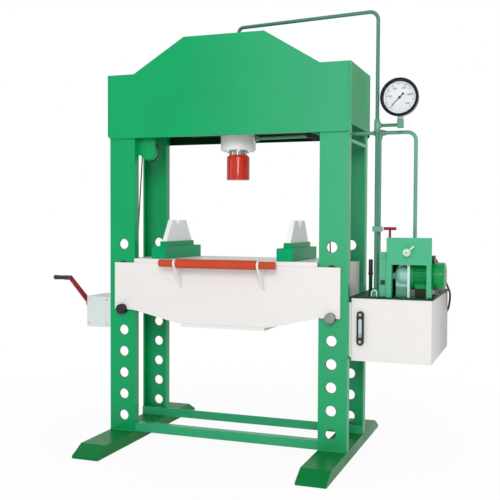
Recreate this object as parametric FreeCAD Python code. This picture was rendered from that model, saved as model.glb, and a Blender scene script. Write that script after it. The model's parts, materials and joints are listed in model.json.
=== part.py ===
import FreeCAD, Part
import math
import os
from FreeCAD import Vector

# Hydraulic press with a portal frame, a table lifted by a hand winch and a pump unit on its right side.
# Millimetres. X runs to the right, Y to the back, Z up. The model is laid out with the floor at z = 0 and the
# ram's axis at x = y = 0, and is exported with its origin in the middle of the table's top face.

# ---- driving dimensions ------------------------------------------------------------------------------------

# frame
post_width = 128
post_depth = 40
post_web = 8
post_flange = 9
post_fillet = 6
post_spacing = 1008          # between the posts' middles
post_into_head = 280         # how far the posts reach up behind the head's plates
frame_depth = 370            # over the posts' webs
foot_height = 50
foot_front = 520             # from the ram's axis
foot_rear = 505
foot_nose_length = 75
foot_nose_height = 12
foot_wall = 8
hole_count = 9
hole_pitch = 100
hole_lowest = 123
hole_diameter = 46
hole_inset = 7               # the holes lie nearer to the frame's middle than the posts' middles
lower_tie_height = 40
lower_tie_wall = 5
lower_tie_inset = 2
rear_tie_thickness = 8
side_tie_width = 63
side_tie_thickness = 15
side_tie_drop = 27           # from the head's lower edge to the side tie's top

# head
head_thickness = 12
head_bottom = 1410           # above the floor
head_end_height = 292
head_end_length = 134
head_crest_rise = 152
head_crest_half = 190
head_chamfer = 12
head_floor = 30              # from the plates' lower edge to the seat plate and the end plates
end_plate_thickness = 7
rope_slot_margin = 17        # round the sheave, of the slot in the left end plate

# cylinder and ram
barrel_radius = 85
barrel_bore = 62.5
barrel_length = 350
barrel_cap = 25
barrel_ring_radius = 95
barrel_ring_height = 20
seat_thickness = 25
seat_half_length = 300
thrust_thickness = 25
thrust_half_length = 185
thrust_hole = 22
gland_radius = 81
gland_height = 83
gland_spigot = 25
gland_boss = 4               # the port's boss stands this far out of the collar
gland_boss_radius = 16
gland_port_rise = 55
gland_chamfer = 3
rod_radius = 42
rod_neck = 21                # of the rod, seen between the collar and the nose
nose_radius = 53
nose_length = 115
nose_chamfer = 9
nose_spigot_radius = 25
nose_spigot_length = 45
piston_length = 47
piston_gap = 3
groove_depth = 2.5
groove_width = 6
ram_stroke = 150
stop_radius = 54             # the stop tube under the piston, which sets the stroke
running_clearance = 0.05     # on the radius of shafts, pistons and pins
seat_clearance = 0.3         # between faces that seat without sliding

# table
table_rise = 235             # of the top face, above the pins' middles
table_top_thickness = 20
table_plate_thickness = 12
table_gap = 2                # between the table's side plates and the posts
table_top_gap = 4            # between the table's top plate and the posts
table_past_pin = 40          # of the side plates, beyond the pins' middles
table_end_overlap = 3        # of the side plates' full ends, over the posts' inner edges
table_pin_bite = 3           # the side plates' ends reach this far below the pins' middles
table_belly_drop = 52        # of the side plates' middle, below their ends
table_belly_half = 215
bottom_plate_thickness = 15
bottom_plate_half_length = 200
cross_plate_gap = 26         # between a cross plate and the posts
cross_plate_thickness = 12
rope_hole_radius = 9
end_frame_gap = 5            # between the end frames and the posts' flanges
end_frame_past_pin = 48
end_frame_drop = 8
end_frame_height = 147
end_frame_wall = 8
lug_gap = 4
lug_height = 110
lug_margin = 10              # of the lug, beyond the rope round the pulley
pulley_pin_past = 6          # of the pulley's pin, behind the lug

# V-blocks
v_block_left_x = -309
v_block_right_x = 289
v_base_width = 70
v_base_height = 56
v_rib_width = 38
v_rib_height = 23
v_rib_margin = 6
v_plate_thickness = 22
v_plate_half_length = 142
v_plate_height = 122
v_tip_outer = 77
v_tip_inner = 36
v_depth = 43

# roller in front of the table
roller_reach = 68            # from the front plate to the roller's axis
roller_drop = 15             # from the table's top face to the roller's axis
roller_radius = 21
roller_half_length = 187
roller_end_radius = 17
roller_bar_half_length = 272
roller_bar_radius = 10
gusset_x = 196
gusset_thickness = 10
gusset_height = 111
gusset_nose = 20
roller_side_gap = 1.5

# table pins
pin_front = 26               # beyond the front plate
pin_rear = 16
pin_chamfer = 4
pin_hole_index = 5

# rope, sheaves and pulleys
rope_radius = 3
rope_gap = 0.3
rope_plane_in = 38           # from the front posts' flange edges back to the rope's plane
sheave_rope_radius = 49
sheave_flange = 3.5
sheave_width = 14
sheave_rise = 30             # of the sheaves' axes above the head's lower edge
left_sheave_in = 33          # from the post's outer side to the left sheave's axis
right_sheave_in = 46         # from the post's inner side to the right sheave's axis
saddle_in = 44               # from the post's inner side to the saddle's axis
saddle_drop = 87             # from the sheaves' axis to the saddle's
saddle_rope_radius = 44
saddle_cheek = 4
ear_radius = 38
pulley_rope_radius = 30
pulley_out = 7               # from the post's inner side to the table pulley's axis
pulley_drop = 88             # from the table's top face to the table pulleys' axes
axle_radius = 8
axle_head_radius = 13
axle_head_thickness = 4
sheave_end_play = 1
bracket_thickness = 10
bracket_rise = 60            # above the sheaves' axis
bracket_drop = 45            # below the sheaves' axis
ear_drop = 60                # of the left bracket's ear, below the rest of it
bracket_corner = 60
bracket_past_fall = 4        # of the left bracket, beyond the rope's fall to the drum
tie_gap = 5                  # between the brackets and the side ties
bracket_margin = 8           # of the right bracket, round its axle's head
end_gap = 0.5                # where a fall meets the run on the table

# winch
winch_length = 128
winch_depth = 172
winch_bottom = 530
winch_height = 145
winch_wall = 4
winch_base = 5
winch_bend = 6
winch_slot_width = 16
drum_length = 34
drum_past_fall = 7
drum_flange_radius = 40
drum_flange = 3
drum_hub_radius = 18
drum_rise = 67               # of the drum's axis above the casing's floor
gear_module = 3
gear_teeth = 36
pinion_teeth = 10
gear_width = 10
gear_gap = 6                 # between the drum's flange and the gear
pinion_overlap = 2           # of the pinion beyond the gear, on each side
pinion_angle = 144           # seen from the right, from +Y towards +Z
shaft_radius = 10
crank_shaft_reach = 26       # out of the casing
crank_arm_gap = 12           # between the casing and the crank arm
crank_arm_thickness = 8
crank_arm_width = 26
crank_tip_width = 20.8
crank_hub_margin = 5
crank_hub_past = 4           # of the hub, beyond the arm's faces
crank_length = 211
crank_lean = 142             # seen from the right, from +Y towards +Z
grip_radius = 11
grip_length = 82
grip_spindle_radius = 5
grip_head_radius = 8
grip_head_length = 4
grip_edge = 3
grip_end_play = 1

# tank, with places on it counted from its front left corner
tank_gap = 10                # between the posts and the tank, filled by its mounting strips
tank_width = 336
tank_inset = 20              # of the tank's front, behind the front posts' webs
tank_depth = 560
tank_bottom = 443
tank_height = 266
tank_wall = 4
tank_corner = 3.5
tank_strip_inset = 20        # of the mounting strips, from the tank's lower and upper edges
tank_strip_back = 6
lid_thickness = 6
lid_overhang = 4
eye_in = 91
eye_back = 29
eye_width = 28
eye_height = 30
eye_wire_radius = 3
level_in = 41
level_rise = 68
level_height = 144
level_width = 30
level_depth = 14
level_window_length = 80
level_window_width = 14
level_bolt_radius = 5

# valve panel
panel_in = 144
panel_back = 15
panel_width = 185
panel_thickness = 8
panel_height = 251
panel_return = 20
panel_window_in = 22
panel_window_width = 144
panel_window_top = 138

# valves
release_in = 110
release_back = 35
release_block_width = 50
release_block_depth = 58
release_block_height = 165
release_step_height = 24
t_stem_in = 39               # from the release valve's left side
t_stem_radius = 5
t_bonnet_radius = 11
t_bonnet_height = 26
t_handle_height = 288        # the bar's axis above the lid
t_bar_radius = 6.5
t_bar_length = 54
valve_in = 87                # from the panel's left side
valve_width = 74
valve_depth = 96
valve_drop = 35              # of the valve's underside, below its spindle
valve_height = 78
valve_spacer = 12
valve_port_height = 10
knob_rise = 190              # of the spindle above the lid
knob_radius = 16.5
knob_length = 26
knob_stem_radius = 8
knob_gap = 4
lever_length = 40
lever_radius = 4.5
lever_angle = 42
manifold_in = 122            # of the black manifold block, from the tank's left side
manifold_height = 150
manifold_back = 185          # of its rear face, behind the tank's front
manifold_plate = 28          # of its arm behind the pump
manifold_reach = 222         # of the arm's end, from the tank's left side

# pump and motor
motor_back = 105
motor_rise = 90
pump_in = 159
pump_radius = 9
pump_length = 11
pump_gap = 2                 # between the pump's boss and the manifold
bell_radius = 46
bell_length = 57
bell_round = 28
bell_front = 20              # of solid housing in front of the room for the coupling
bell_flange_radius = 60
bell_flange = 10
bell_wall = 5
bell_foot_in = 4
bell_foot_length = 47
bell_foot_depth = 60
stub_aside = 21              # of the pressure stub, in front of the pump's axis
stub_drop = 8
motor_length = 88
motor_radius = 50
fin_depth = 8
fin_count = 30
fin_width = 3.2
fin_root = 2                 # of the fins and feet, inside the shell
motor_end_plate = 12
fan_cover_length = 40
fan_cover_radius = 57
fan_cover_wall = 3
fan_slot_count = 12
fan_slot_width = 6
fan_slot_inset = 15.5        # of the slots, from the cover's middle and from its side
fan_cover_round = 8
motor_foot_width = 16
motor_foot_depth = 90
motor_foot_length = 70
motor_foot_end = 10          # from the foot to the casing's rear end
motor_foot_gap = 14          # height of the gap under the casing, between the feet
rotor_radius = 30
rotor_gap = 0.6
rotor_shaft_radius = 12
rotor_end_room = 8
shaft_room = 3               # round the shaft, in the end plate
shaft_reach = 25             # of the shaft, into the bell housing
fan_radius = 48
fan_blades = 9
fan_hub_radius = 18
fan_disc = 3
fan_gap = 6                  # between the casing's end and the fan
fan_room = 9                 # behind the fan, inside its cover
terminal_box_size = (56, 52, 27)
terminal_box_back = 41       # from the motor's front end to the box

# filler
filler_in = 60
filler_back = 105
filler_radius = 8
filler_bore = 5.5
filler_height = 88
cap_radius = 9
cap_height = 67
cap_rim_radius = 10.5
cap_rim_height = 10
cap_plug = 6
cap_round = 3

# pipes
pipe_radius = 8
pipe_bore = 5.5
pressure_in = 91
pressure_back = 60
pressure_rise = 131          # above the cylinder's cap
pressure_bend = 38
pressure_cap_bend = 24
return_in = 93
return_back = 110
return_nut_length = 18
return_lead = 16             # straight before the run's first bend and after its last
return_bend = 120
branch_in = 247
branch_bend = 36
tee_radius = 13
tee_length = 34
gauge_pipe_rise = 28         # above the head's lower edge
gauge_elbow = 26
clamp_height = 1001
clamp_thickness = 22
union_radius = 15
union_height = 30
suction_in = 198
suction_radius = 14
strainer_radius = 24
strainer_length = 90
strainer_rise = 20

# gauge
gauge_in = 189
gauge_forward = 15           # of the case's middle, in front of its pipe
gauge_rise = 111             # of the dial's middle, above its pipe
gauge_radius = 76
gauge_depth = 56
gauge_bezel_radius = 80
gauge_bezel_width = 12
gauge_dial_radius = 67
gauge_stem_radius = 7
gauge_wall = 4
gauge_nut_width = 22
gauge_nut_height = 16
dial_room = 2                # between the dial and the case
dial_setback = 16            # of the dial, behind the bezel's front
dial_thickness = 2
dial_boss_radius = 12
dial_ledge = 6
glass_thickness = 3
needle_length = 50
needle_tail = 20
needle_tail_radius = 4.5
needle_hub_radius = 5
needle_width = 4
needle_point = 1.2
needle_thickness = 1.2
needle_gap = 1.8             # between the needle and the dial
needle_zero = 226            # degrees from +X towards +Z

# motor lead and starter box
lead_radius = 5
starter_in = 66              # from the tank's right side
starter_size = (90, 64, 110)
starter_gland_rise = 28
starter_drop = 155           # of its underside, below the lid's top face

# ---- derived places ----------------------------------------------------------------------------------------

web_out = frame_depth / 2
web_in = web_out - post_web
flange_end = web_out - post_depth
post_x = post_spacing / 2
post_inner = post_x - post_width / 2
post_outer = post_x + post_width / 2
post_top = head_bottom + post_into_head
hole_x = post_x - hole_inset
pin_height = hole_lowest + pin_hole_index * hole_pitch
side_tie_height = head_bottom - side_tie_drop - side_tie_thickness

head_out = web_out + head_thickness
head_half = post_outer + end_plate_thickness
head_shoulder = head_bottom + head_end_height
head_crest = head_shoulder + head_crest_rise
head_shoulder_half = head_half - head_end_length
end_plate_bottom = head_bottom + head_floor
barrel_bottom = head_bottom + head_floor
barrel_top = barrel_bottom + barrel_length
gland_bottom = barrel_bottom - gland_height
return_height = gland_bottom + gland_port_rise
rod_bottom = gland_bottom - rod_neck
nose_bottom = rod_bottom - nose_length
piston_top = barrel_top - barrel_cap - piston_gap

table_height = pin_height + table_rise
table_in = web_out + table_gap
table_out = table_in + table_plate_thickness
table_plate_top = table_height - table_top_thickness
table_half_length = hole_x + table_past_pin
table_end_bottom = pin_height - table_pin_bite
table_end_half = post_inner + table_end_overlap
table_belly = table_end_bottom - table_belly_drop
table_top_half_length = post_inner - table_top_gap
cross_plate_x = post_inner - cross_plate_gap - cross_plate_thickness
end_frame_length = hole_x + end_frame_past_pin
end_frame_half_depth = flange_end - end_frame_gap
end_frame_top = table_height - end_frame_drop
end_frame_bottom = end_frame_top - end_frame_height
roller_y = -table_out - roller_reach
roller_height = table_height - roller_drop
gusset_bottom = table_plate_top - gusset_height

rope_plane_y = -flange_end + rope_plane_in
sheave_height = head_bottom + sheave_rise
left_sheave_x = -post_outer + left_sheave_in
right_sheave_x = post_inner - right_sheave_in
saddle_x = -post_inner + saddle_in
saddle_height = sheave_height - saddle_drop
pulley_x = post_inner + pulley_out
pulley_height = table_height - pulley_drop
bracket_top = sheave_height + bracket_rise
bracket_bottom = sheave_height - bracket_drop
winch_fall_x = left_sheave_x - sheave_rope_radius

winch_x = -post_outer
winch_left = winch_x - winch_length
winch_top = winch_bottom + winch_height
drum_radius = pulley_rope_radius - rope_radius - rope_gap
drum_axis_y = rope_plane_y + pulley_rope_radius
drum_axis_z = winch_bottom + drum_rise
drum_right = winch_fall_x + drum_past_fall
drum_left = drum_right - drum_length
gear_left = drum_left - drum_flange - gear_gap - gear_width
gear_radius = gear_module * gear_teeth / 2
pinion_radius = gear_module * pinion_teeth / 2
crank_y = drum_axis_y + (gear_radius + pinion_radius) * math.cos(math.radians(pinion_angle))
crank_z = drum_axis_z + (gear_radius + pinion_radius) * math.sin(math.radians(pinion_angle))
crank_arm_x = winch_left - crank_arm_gap - crank_arm_thickness
grip_y = crank_y + crank_length * math.cos(math.radians(crank_lean))
grip_z = crank_z + crank_length * math.sin(math.radians(crank_lean))

tank_x = post_outer + tank_gap
tank_front = -web_out + tank_inset
lid_top = tank_bottom + tank_height + lid_thickness
level_x = tank_x + level_in
level_bottom = tank_bottom + level_rise
panel_x = tank_x + panel_in
panel_front = tank_front + panel_back
panel_window_x = panel_x + panel_window_in
release_block_x = tank_x + release_in
release_block_front = tank_front + release_back
t_stem_x = release_block_x + t_stem_in
valve_x = panel_x + valve_in
knob_height = lid_top + knob_rise
valve_bottom = knob_height - valve_drop
motor_axis_y = tank_front + motor_back
motor_axis_z = lid_top + motor_rise
pump_left = tank_x + pump_in
bell_left = pump_left + pump_length
motor_left = bell_left + bell_length + bell_flange
motor_end = motor_left + motor_end_plate + motor_length
terminal_box_x = motor_left + terminal_box_back
eye_x = tank_x + eye_in
eye_y = tank_front + eye_back
filler_x = tank_x + filler_in
filler_y = tank_front + filler_back
suction_x = tank_x + suction_in
pressure_x = tank_x + pressure_in
pressure_y = tank_front + pressure_back
pressure_top = barrel_top + pressure_rise
return_x = tank_x + return_in
return_y = tank_front + return_back
branch_x = tank_x + branch_in
gauge_x = tank_x + gauge_in
gauge_y = pressure_y - gauge_forward
gauge_pipe_height = head_bottom + gauge_pipe_rise
gauge_height = gauge_pipe_height + gauge_rise
starter_x = tank_x + tank_width - starter_in - starter_size[0]
starter_bottom = lid_top - starter_drop
ALONG_X = Vector(1, 0, 0)
ALONG_Y = Vector(0, 1, 0)
ALONG_Z = Vector(0, 0, 1)


# ---- helpers -----------------------------------------------------------------------------------------------

def box(x0, x1, y0, y1, z0, z1):
    return Part.makeBox(x1 - x0, y1 - y0, z1 - z0, Vector(x0, y0, z0))


def rod(radius, start, end):
    """A round bar between two points."""
    along = end - start
    return Part.makeCylinder(radius, along.Length, start, along)


def tube(radius, bore, start, end):
    return rod(radius, start, end).cut(rod(bore, start, end))


def prism(points, depth):
    """A flat outline, given as points in its own plane, pushed along a vector."""
    outline = Part.makePolygon(list(points) + [points[0]])
    return Part.Face(outline).extrude(depth)


def plate_xz(outline, y0, thickness):
    return prism([Vector(x, y0, z) for x, z in outline], ALONG_Y * thickness)


def plate_yz(outline, x0, thickness):
    return prism([Vector(x0, y, z) for y, z in outline], ALONG_X * thickness)


def turned(profile, foot, axis):
    """A solid of revolution: profile gives radius and distance along the axis from its foot."""
    side = ALONG_X if abs(axis.x) < 0.5 else ALONG_Z
    points = [foot + side * radius + axis * along for radius, along in profile]
    outline = Part.makePolygon(points + [points[0]])
    return Part.Face(outline).revolve(foot, axis, 360)


def mirror_x(shape):
    return shape.mirror(Vector(0, 0, 0), ALONG_X)


def mirror_y(shape):
    return shape.mirror(Vector(0, 0, 0), ALONG_Y)


def rounded_path(points, bends):
    """Straight runs joined by tangent arcs, one bend radius for each inner point."""
    edges = []
    start = points[0]
    for before, corner, after, bend in zip(points, points[1:], points[2:], bends):
        back = (before - corner).normalize()
        on = (after - corner).normalize()
        half = back.getAngle(on) / 2
        reach = bend / math.tan(half)
        first = corner + back * reach
        last = corner + on * reach
        middle = corner + (back + on).normalize() * (bend / math.sin(half) - bend)
        edges.append(Part.LineSegment(start, first).toShape())
        edges.append(Part.Arc(first, middle, last).toShape())
        start = last
    edges.append(Part.LineSegment(start, points[-1]).toShape())
    return Part.Wire(edges)


def swept(path, start, along, radius, bore=None):
    """A round bar or tube swept along a path."""
    def solid(size):
        profile = Part.Wire([Part.makeCircle(size, start, along)])
        return path.makePipeShell([profile], True, False)
    if bore is None:
        return solid(radius)
    return solid(radius).cut(solid(bore))


def pipe(points, bends, radius=pipe_radius, bore=pipe_bore):
    points = [Vector(*point) for point in points]
    return swept(rounded_path(points, bends), points[0], points[1] - points[0], radius, bore)


def hexagon(across, foot, along, length, hole=None):
    """A hexagonal nut: its width across flats, where it starts and how far it runs."""
    corner = across / math.sqrt(3)
    along = Vector(along).normalize()
    side = ALONG_X if abs(along.x) < 0.5 else ALONG_Z
    other = along.cross(side)
    turns = [math.radians(60 * i) for i in range(6)]
    points = [foot + side * (corner * math.cos(a)) + other * (corner * math.sin(a)) for a in turns]
    nut = prism(points, along * length)
    return nut.cut(rod(hole, foot, foot + along * length)) if hole else nut


def export(node, *solids):
    shape = solids[0] if len(solids) == 1 else Part.makeCompound(list(solids))
    shape = shape.copy()
    shape.translate(Vector(0, 0, -table_height))
    if len(shape.Solids) == 1 and shape.ShapeType != "Solid":
        shape = shape.Solids[0]
    shape.exportStep("parts/" + node + ".step")


# ---- frame -------------------------------------------------------------------------------------------------

def front_left_post():
    """A channel with its web to the front, flanges to the back and a row of pin holes in the web."""
    outer = box(-post_outer, -post_inner, -web_out, -flange_end, foot_height, post_top)
    inner = box(-post_outer + post_flange, -post_inner - post_flange, -web_in, 0, foot_height, post_top)
    edges = []
    for edge in inner.Edges:
        middle = edge.CenterOfMass
        upright = abs(edge.tangentAt(edge.FirstParameter).z) > 0.9
        if upright and abs(middle.y + web_in) < 0.1:
            edges.append(edge)
    post = outer.cut(inner.makeFillet(post_fillet, edges))
    for i in range(hole_count):
        z = hole_lowest + i * hole_pitch
        post = post.cut(rod(hole_diameter / 2, Vector(-hole_x, -web_out - 1, z), Vector(-hole_x, -web_in + 1, z)))
    return post


def left_foot():
    """A channel laid with its open side down, its nose and heel sloped and closed."""
    def shape(wall):
        top = foot_height - wall
        toe = foot_nose_height - wall if wall else foot_nose_height
        toe = max(toe, 0.5)
        outline = [(-foot_front + wall, 0), (-foot_front + wall, toe)]
        outline += [(-foot_front + foot_nose_length + wall / 2, top)]
        outline += [(foot_rear - foot_nose_length - wall / 2, top)]
        outline += [(foot_rear - wall, toe), (foot_rear - wall, 0)]
        return plate_yz(outline, -post_outer + wall, post_width - 2 * wall)
    return shape(0).cut(shape(foot_wall))


def tie_bars():
    """A square tube between the front posts, a flat bar on the rear posts' flanges, two side bars on top."""
    low = foot_height
    high = foot_height + lower_tie_height
    near = -web_out + lower_tie_inset
    far = near + lower_tie_height
    wall = lower_tie_wall
    front = box(-post_inner, post_inner, near, far, low, high)
    hollow = box(-post_inner, post_inner, near + wall, far - wall, low + wall, high - wall)
    rear = box(-post_outer, post_outer, flange_end - rear_tie_thickness, flange_end, low, high)
    side = box(post_outer - side_tie_width, post_outer, -flange_end, flange_end,
               side_tie_height, side_tie_height + side_tie_thickness)
    return front.cut(hollow), rear, side, mirror_x(side)


def head_front_plate():
    right = [(head_half - head_chamfer, head_bottom), (head_half, head_bottom + head_chamfer)]
    right += [(head_half, head_shoulder)]
    right += [(head_shoulder_half, head_shoulder), (head_crest_half, head_crest)]
    left = [(-x, z) for x, z in reversed(right)]
    return plate_xz(right + left, -head_out, head_thickness)


def head_inner_plates():
    """End plates, the plate that seats the cylinder and the plate that takes its thrust."""
    right_end = box(post_outer, post_outer + end_plate_thickness, -web_out, web_out,
                    end_plate_bottom, head_shoulder)
    left_end = mirror_x(right_end)
    slot = box(-post_outer - end_plate_thickness - 1, -post_outer + 1, -flange_end - seat_clearance,
               rope_plane_y + sheave_width / 2 + rope_slot_margin, end_plate_bottom - 1,
               sheave_height + sheave_rope_radius + rope_slot_margin)
    seat = box(-seat_half_length, seat_half_length, -web_out, web_out,
               barrel_bottom, barrel_bottom + seat_thickness)
    seat_bore = rod(barrel_radius + seat_clearance, Vector(0, 0, barrel_bottom - 1),
                    Vector(0, 0, barrel_bottom + seat_thickness + 1))
    thrust = box(-thrust_half_length, thrust_half_length, -web_out, web_out,
                 barrel_top, barrel_top + thrust_thickness)
    thrust_bore = rod(thrust_hole, Vector(0, 0, barrel_top - 1), Vector(0, 0, barrel_top + thrust_thickness + 1))
    return right_end, left_end.cut(slot), seat.cut(seat_bore), thrust.cut(thrust_bore)


# ---- cylinder and ram --------------------------------------------------------------------------------------

def cylinder_barrel():
    """A turned barrel with a welded end cap, an oil port in the cap and a ring that sits on the seat plate."""
    ring_low = seat_thickness
    ring_high = ring_low + barrel_ring_height
    top = barrel_top - barrel_bottom
    profile = [(barrel_bore, 0), (barrel_radius, 0), (barrel_radius, ring_low), (barrel_ring_radius, ring_low)]
    profile += [(barrel_ring_radius, ring_high), (barrel_radius, ring_high), (barrel_radius, top)]
    profile += [(pipe_bore, top), (pipe_bore, top - barrel_cap), (barrel_bore, top - barrel_cap)]
    return turned(profile, Vector(0, 0, barrel_bottom), ALONG_Z)


def gland_collar():
    """The collar that closes the barrel and guides the rod, with two seal grooves and a side port."""
    bore = rod_radius + running_clearance
    spigot = barrel_bore - seat_clearance
    height = barrel_bottom - gland_bottom
    groove = bore + groove_depth
    edge = gland_chamfer
    profile = [(bore, 0), (gland_radius - edge, 0), (gland_radius, edge), (gland_radius, height), (spigot, height)]
    profile += [(spigot, height + gland_spigot), (bore, height + gland_spigot)]
    for low in (height, height / 3):
        profile += [(bore, low + groove_width), (groove, low + groove_width), (groove, low), (bore, low)]
    boss = rod(gland_boss_radius, Vector(gland_radius - 6, 0, return_height),
               Vector(gland_radius + gland_boss, 0, return_height))
    port = rod(pipe_bore, Vector(rod_radius + 1, 0, return_height),
               Vector(gland_radius + gland_boss + 1, 0, return_height))
    return turned(profile, Vector(0, 0, gland_bottom), ALONG_Z).fuse(boss).removeSplitter().cut(port)


def ram_rod():
    """The rod with its spigot for the nose, and on its top the grooved piston with its stop tube."""
    low = rod_bottom - nose_spigot_length
    profile = [(0, low), (nose_spigot_radius, low), (nose_spigot_radius, rod_bottom), (rod_radius, rod_bottom)]
    profile += [(rod_radius, piston_top), (0, piston_top)]
    bar = turned(profile, Vector(0, 0, 0), ALONG_Z)
    radius = barrel_bore - running_clearance
    low = piston_top - piston_length
    stop_low = barrel_bottom + gland_spigot + ram_stroke
    ring = [(rod_radius, stop_low), (stop_radius, stop_low), (stop_radius, low), (radius, low)]
    for i in (1, 2):
        z = low + i * piston_length / 3 - groove_width / 2
        ring += [(radius, z), (radius - groove_depth, z)]
        ring += [(radius - groove_depth, z + groove_width), (radius, z + groove_width)]
    ring += [(radius, piston_top), (rod_radius, piston_top)]
    return bar, turned(ring, Vector(0, 0, 0), ALONG_Z)


def ram_nose():
    bore = nose_spigot_radius + seat_clearance
    spigot = rod_bottom - nose_spigot_length - seat_clearance
    profile = [(0, nose_bottom), (nose_radius - 2, nose_bottom), (nose_radius, nose_bottom + 2)]
    profile += [(nose_radius, rod_bottom - nose_chamfer), (nose_radius - nose_chamfer, rod_bottom)]
    profile += [(bore, rod_bottom), (bore, spigot), (0, spigot)]
    return turned(profile, Vector(0, 0, 0), ALONG_Z)


# ---- table -------------------------------------------------------------------------------------------------

def table_front_plate():
    """A deep-bellied plate outside the posts, notched at both ends for the table pins."""
    right = [(table_belly_half, table_belly), (table_end_half, table_end_bottom)]
    right += [(table_half_length, table_end_bottom), (table_half_length, table_plate_top)]
    left = [(-x, z) for x, z in reversed(right)]
    plate = plate_xz(right + left, -table_out, table_plate_thickness)
    for x in (-hole_x, hole_x):
        notch = rod(hole_diameter / 2, Vector(x, -table_out - 1, pin_height), Vector(x, -table_in + 1, pin_height))
        plate = plate.cut(notch)
    return plate


def table_top_plate():
    return box(-table_top_half_length, table_top_half_length, -table_out, table_out, table_plate_top, table_height)


def gusset(x):
    """A triangular bracket on the front plate that carries the roller bar."""
    across = -table_out - roller_y
    down = gusset_bottom - roller_height
    touch = math.atan2(down, across) - math.acos(gusset_nose / math.hypot(across, down))
    outline = [(-table_out, gusset_bottom), (-table_out, table_plate_top - 1)]
    outline += [(roller_y, roller_height + gusset_nose), (roller_y, roller_height)]
    outline += [(roller_y + gusset_nose * math.cos(touch), roller_height + gusset_nose * math.sin(touch))]
    low = x - gusset_thickness / 2
    plate = plate_yz(outline, low, gusset_thickness)
    plate = plate.fuse(rod(gusset_nose, Vector(low, roller_y, roller_height),
                           Vector(low + gusset_thickness, roller_y, roller_height)))
    hole = rod(roller_bar_radius + running_clearance, Vector(low - 1, roller_y, roller_height),
               Vector(low + gusset_thickness + 1, roller_y, roller_height))
    return plate.cut(hole).removeSplitter()


def table_webs():
    """The bottom plate, two cross plates between the side plates, and the two roller gussets."""
    bottom = box(-bottom_plate_half_length, bottom_plate_half_length, -table_out, table_out,
                 table_belly - bottom_plate_thickness, table_belly)
    low = table_end_bottom
    cross = box(cross_plate_x, cross_plate_x + cross_plate_thickness, -table_in, table_in, low, table_plate_top)
    run_z = pulley_height - pulley_rope_radius
    cross = cross.cut(rod(rope_hole_radius, Vector(cross_plate_x - 1, rope_plane_y, run_z),
                          Vector(cross_plate_x + cross_plate_thickness + 1, rope_plane_y, run_z)))
    return bottom, cross, mirror_x(cross), gusset(-gusset_x), gusset(gusset_x)


def table_end_frame():
    """Two cheeks, an end plate and a lug, welded to the cross plate between the posts, and the pulley's pin."""
    start = cross_plate_x + cross_plate_thickness
    near = -end_frame_half_depth
    lug_y = rope_plane_y + sheave_width / 2 + lug_gap
    under_top = table_top_half_length + seat_clearance
    outline = [(start, end_frame_bottom), (end_frame_length - end_frame_wall, end_frame_bottom)]
    outline += [(end_frame_length - end_frame_wall, end_frame_top), (under_top, end_frame_top)]
    outline += [(under_top, table_plate_top), (start, table_plate_top)]
    pin_start = Vector(pulley_x, near, pulley_height)
    pin_end = Vector(pulley_x, lug_y + end_frame_wall + pulley_pin_past, pulley_height)
    hole = rod(axle_radius + running_clearance, pin_start - ALONG_Y, pin_end)
    front_cheek = plate_xz(outline, near, end_frame_wall).cut(hole)
    rear_cheek = plate_xz(outline, -near - end_frame_wall, end_frame_wall)
    end = box(end_frame_length - end_frame_wall, end_frame_length, near, -near, end_frame_bottom, end_frame_top)
    lug = box(start, pulley_x + pulley_rope_radius + lug_margin, lug_y, lug_y + end_frame_wall,
              end_frame_bottom, end_frame_bottom + lug_height).cut(hole)
    return front_cheek, rear_cheek, end, lug, rod(axle_radius, pin_start, pin_end)


def v_block_base(x):
    """A long bar across the table with a raised rib, slotted for the V plate."""
    half = v_base_width / 2
    bar = box(x - half, x + half, -table_out, table_out, table_height, table_height + v_base_height)
    rib_half = v_rib_width / 2
    length = v_plate_half_length
    rib_top = table_height + v_base_height + v_rib_height
    rib = box(x - rib_half, x + rib_half, -length - v_rib_margin, length + v_rib_margin,
              table_height + v_base_height, rib_top)
    slot_half = v_plate_thickness / 2 + seat_clearance / 2
    slot = box(x - slot_half, x + slot_half, -length - seat_clearance, length + seat_clearance,
               table_height + v_base_height, rib_top + 1)
    return bar.fuse(rib).removeSplitter().cut(slot)


def v_plate(x):
    """A plate on edge with sloped shoulders and a V in its top for round stock."""
    low = table_height + v_base_height
    top = low + v_plate_height
    right = [(v_plate_half_length, low), (v_plate_half_length, low + v_rib_height), (v_tip_outer, top)]
    right += [(v_tip_inner, top)]
    left = [(-y, z) for y, z in reversed(right)]
    return plate_yz(right + [(0, top - v_depth)] + left, x - v_plate_thickness / 2, v_plate_thickness)


def roller_bar():
    """The fixed bar through the gussets, with a collar outside each one."""
    def sleeve(start, end):
        return tube(roller_end_radius, roller_bar_radius, Vector(start, roller_y, roller_height),
                    Vector(end, roller_y, roller_height))
    bar = rod(roller_bar_radius, Vector(-roller_bar_half_length, roller_y, roller_height),
              Vector(roller_bar_half_length, roller_y, roller_height))
    start = gusset_x + gusset_thickness / 2
    right = sleeve(start, roller_bar_half_length)
    return bar, right, mirror_x(right)


def roller_tube():
    half = min(roller_half_length, gusset_x - gusset_thickness / 2 - roller_side_gap)
    return tube(roller_radius, roller_bar_radius + running_clearance, Vector(-half, roller_y, roller_height),
                Vector(half, roller_y, roller_height))


def table_pin(x):
    """A plain steel pin through the front post, under the table's plates and through the rear post."""
    radius = hole_diameter / 2 - running_clearance
    length = 2 * table_out + pin_front + pin_rear
    profile = [(0, 0), (radius - pin_chamfer, 0), (radius, pin_chamfer), (radius, length - pin_chamfer)]
    profile += [(radius - pin_chamfer, length), (0, length)]
    return turned(profile, Vector(x, -table_out - pin_front, pin_height), ALONG_Y)


# ---- rope, sheaves and brackets ----------------------------------------------------------------------------

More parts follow.
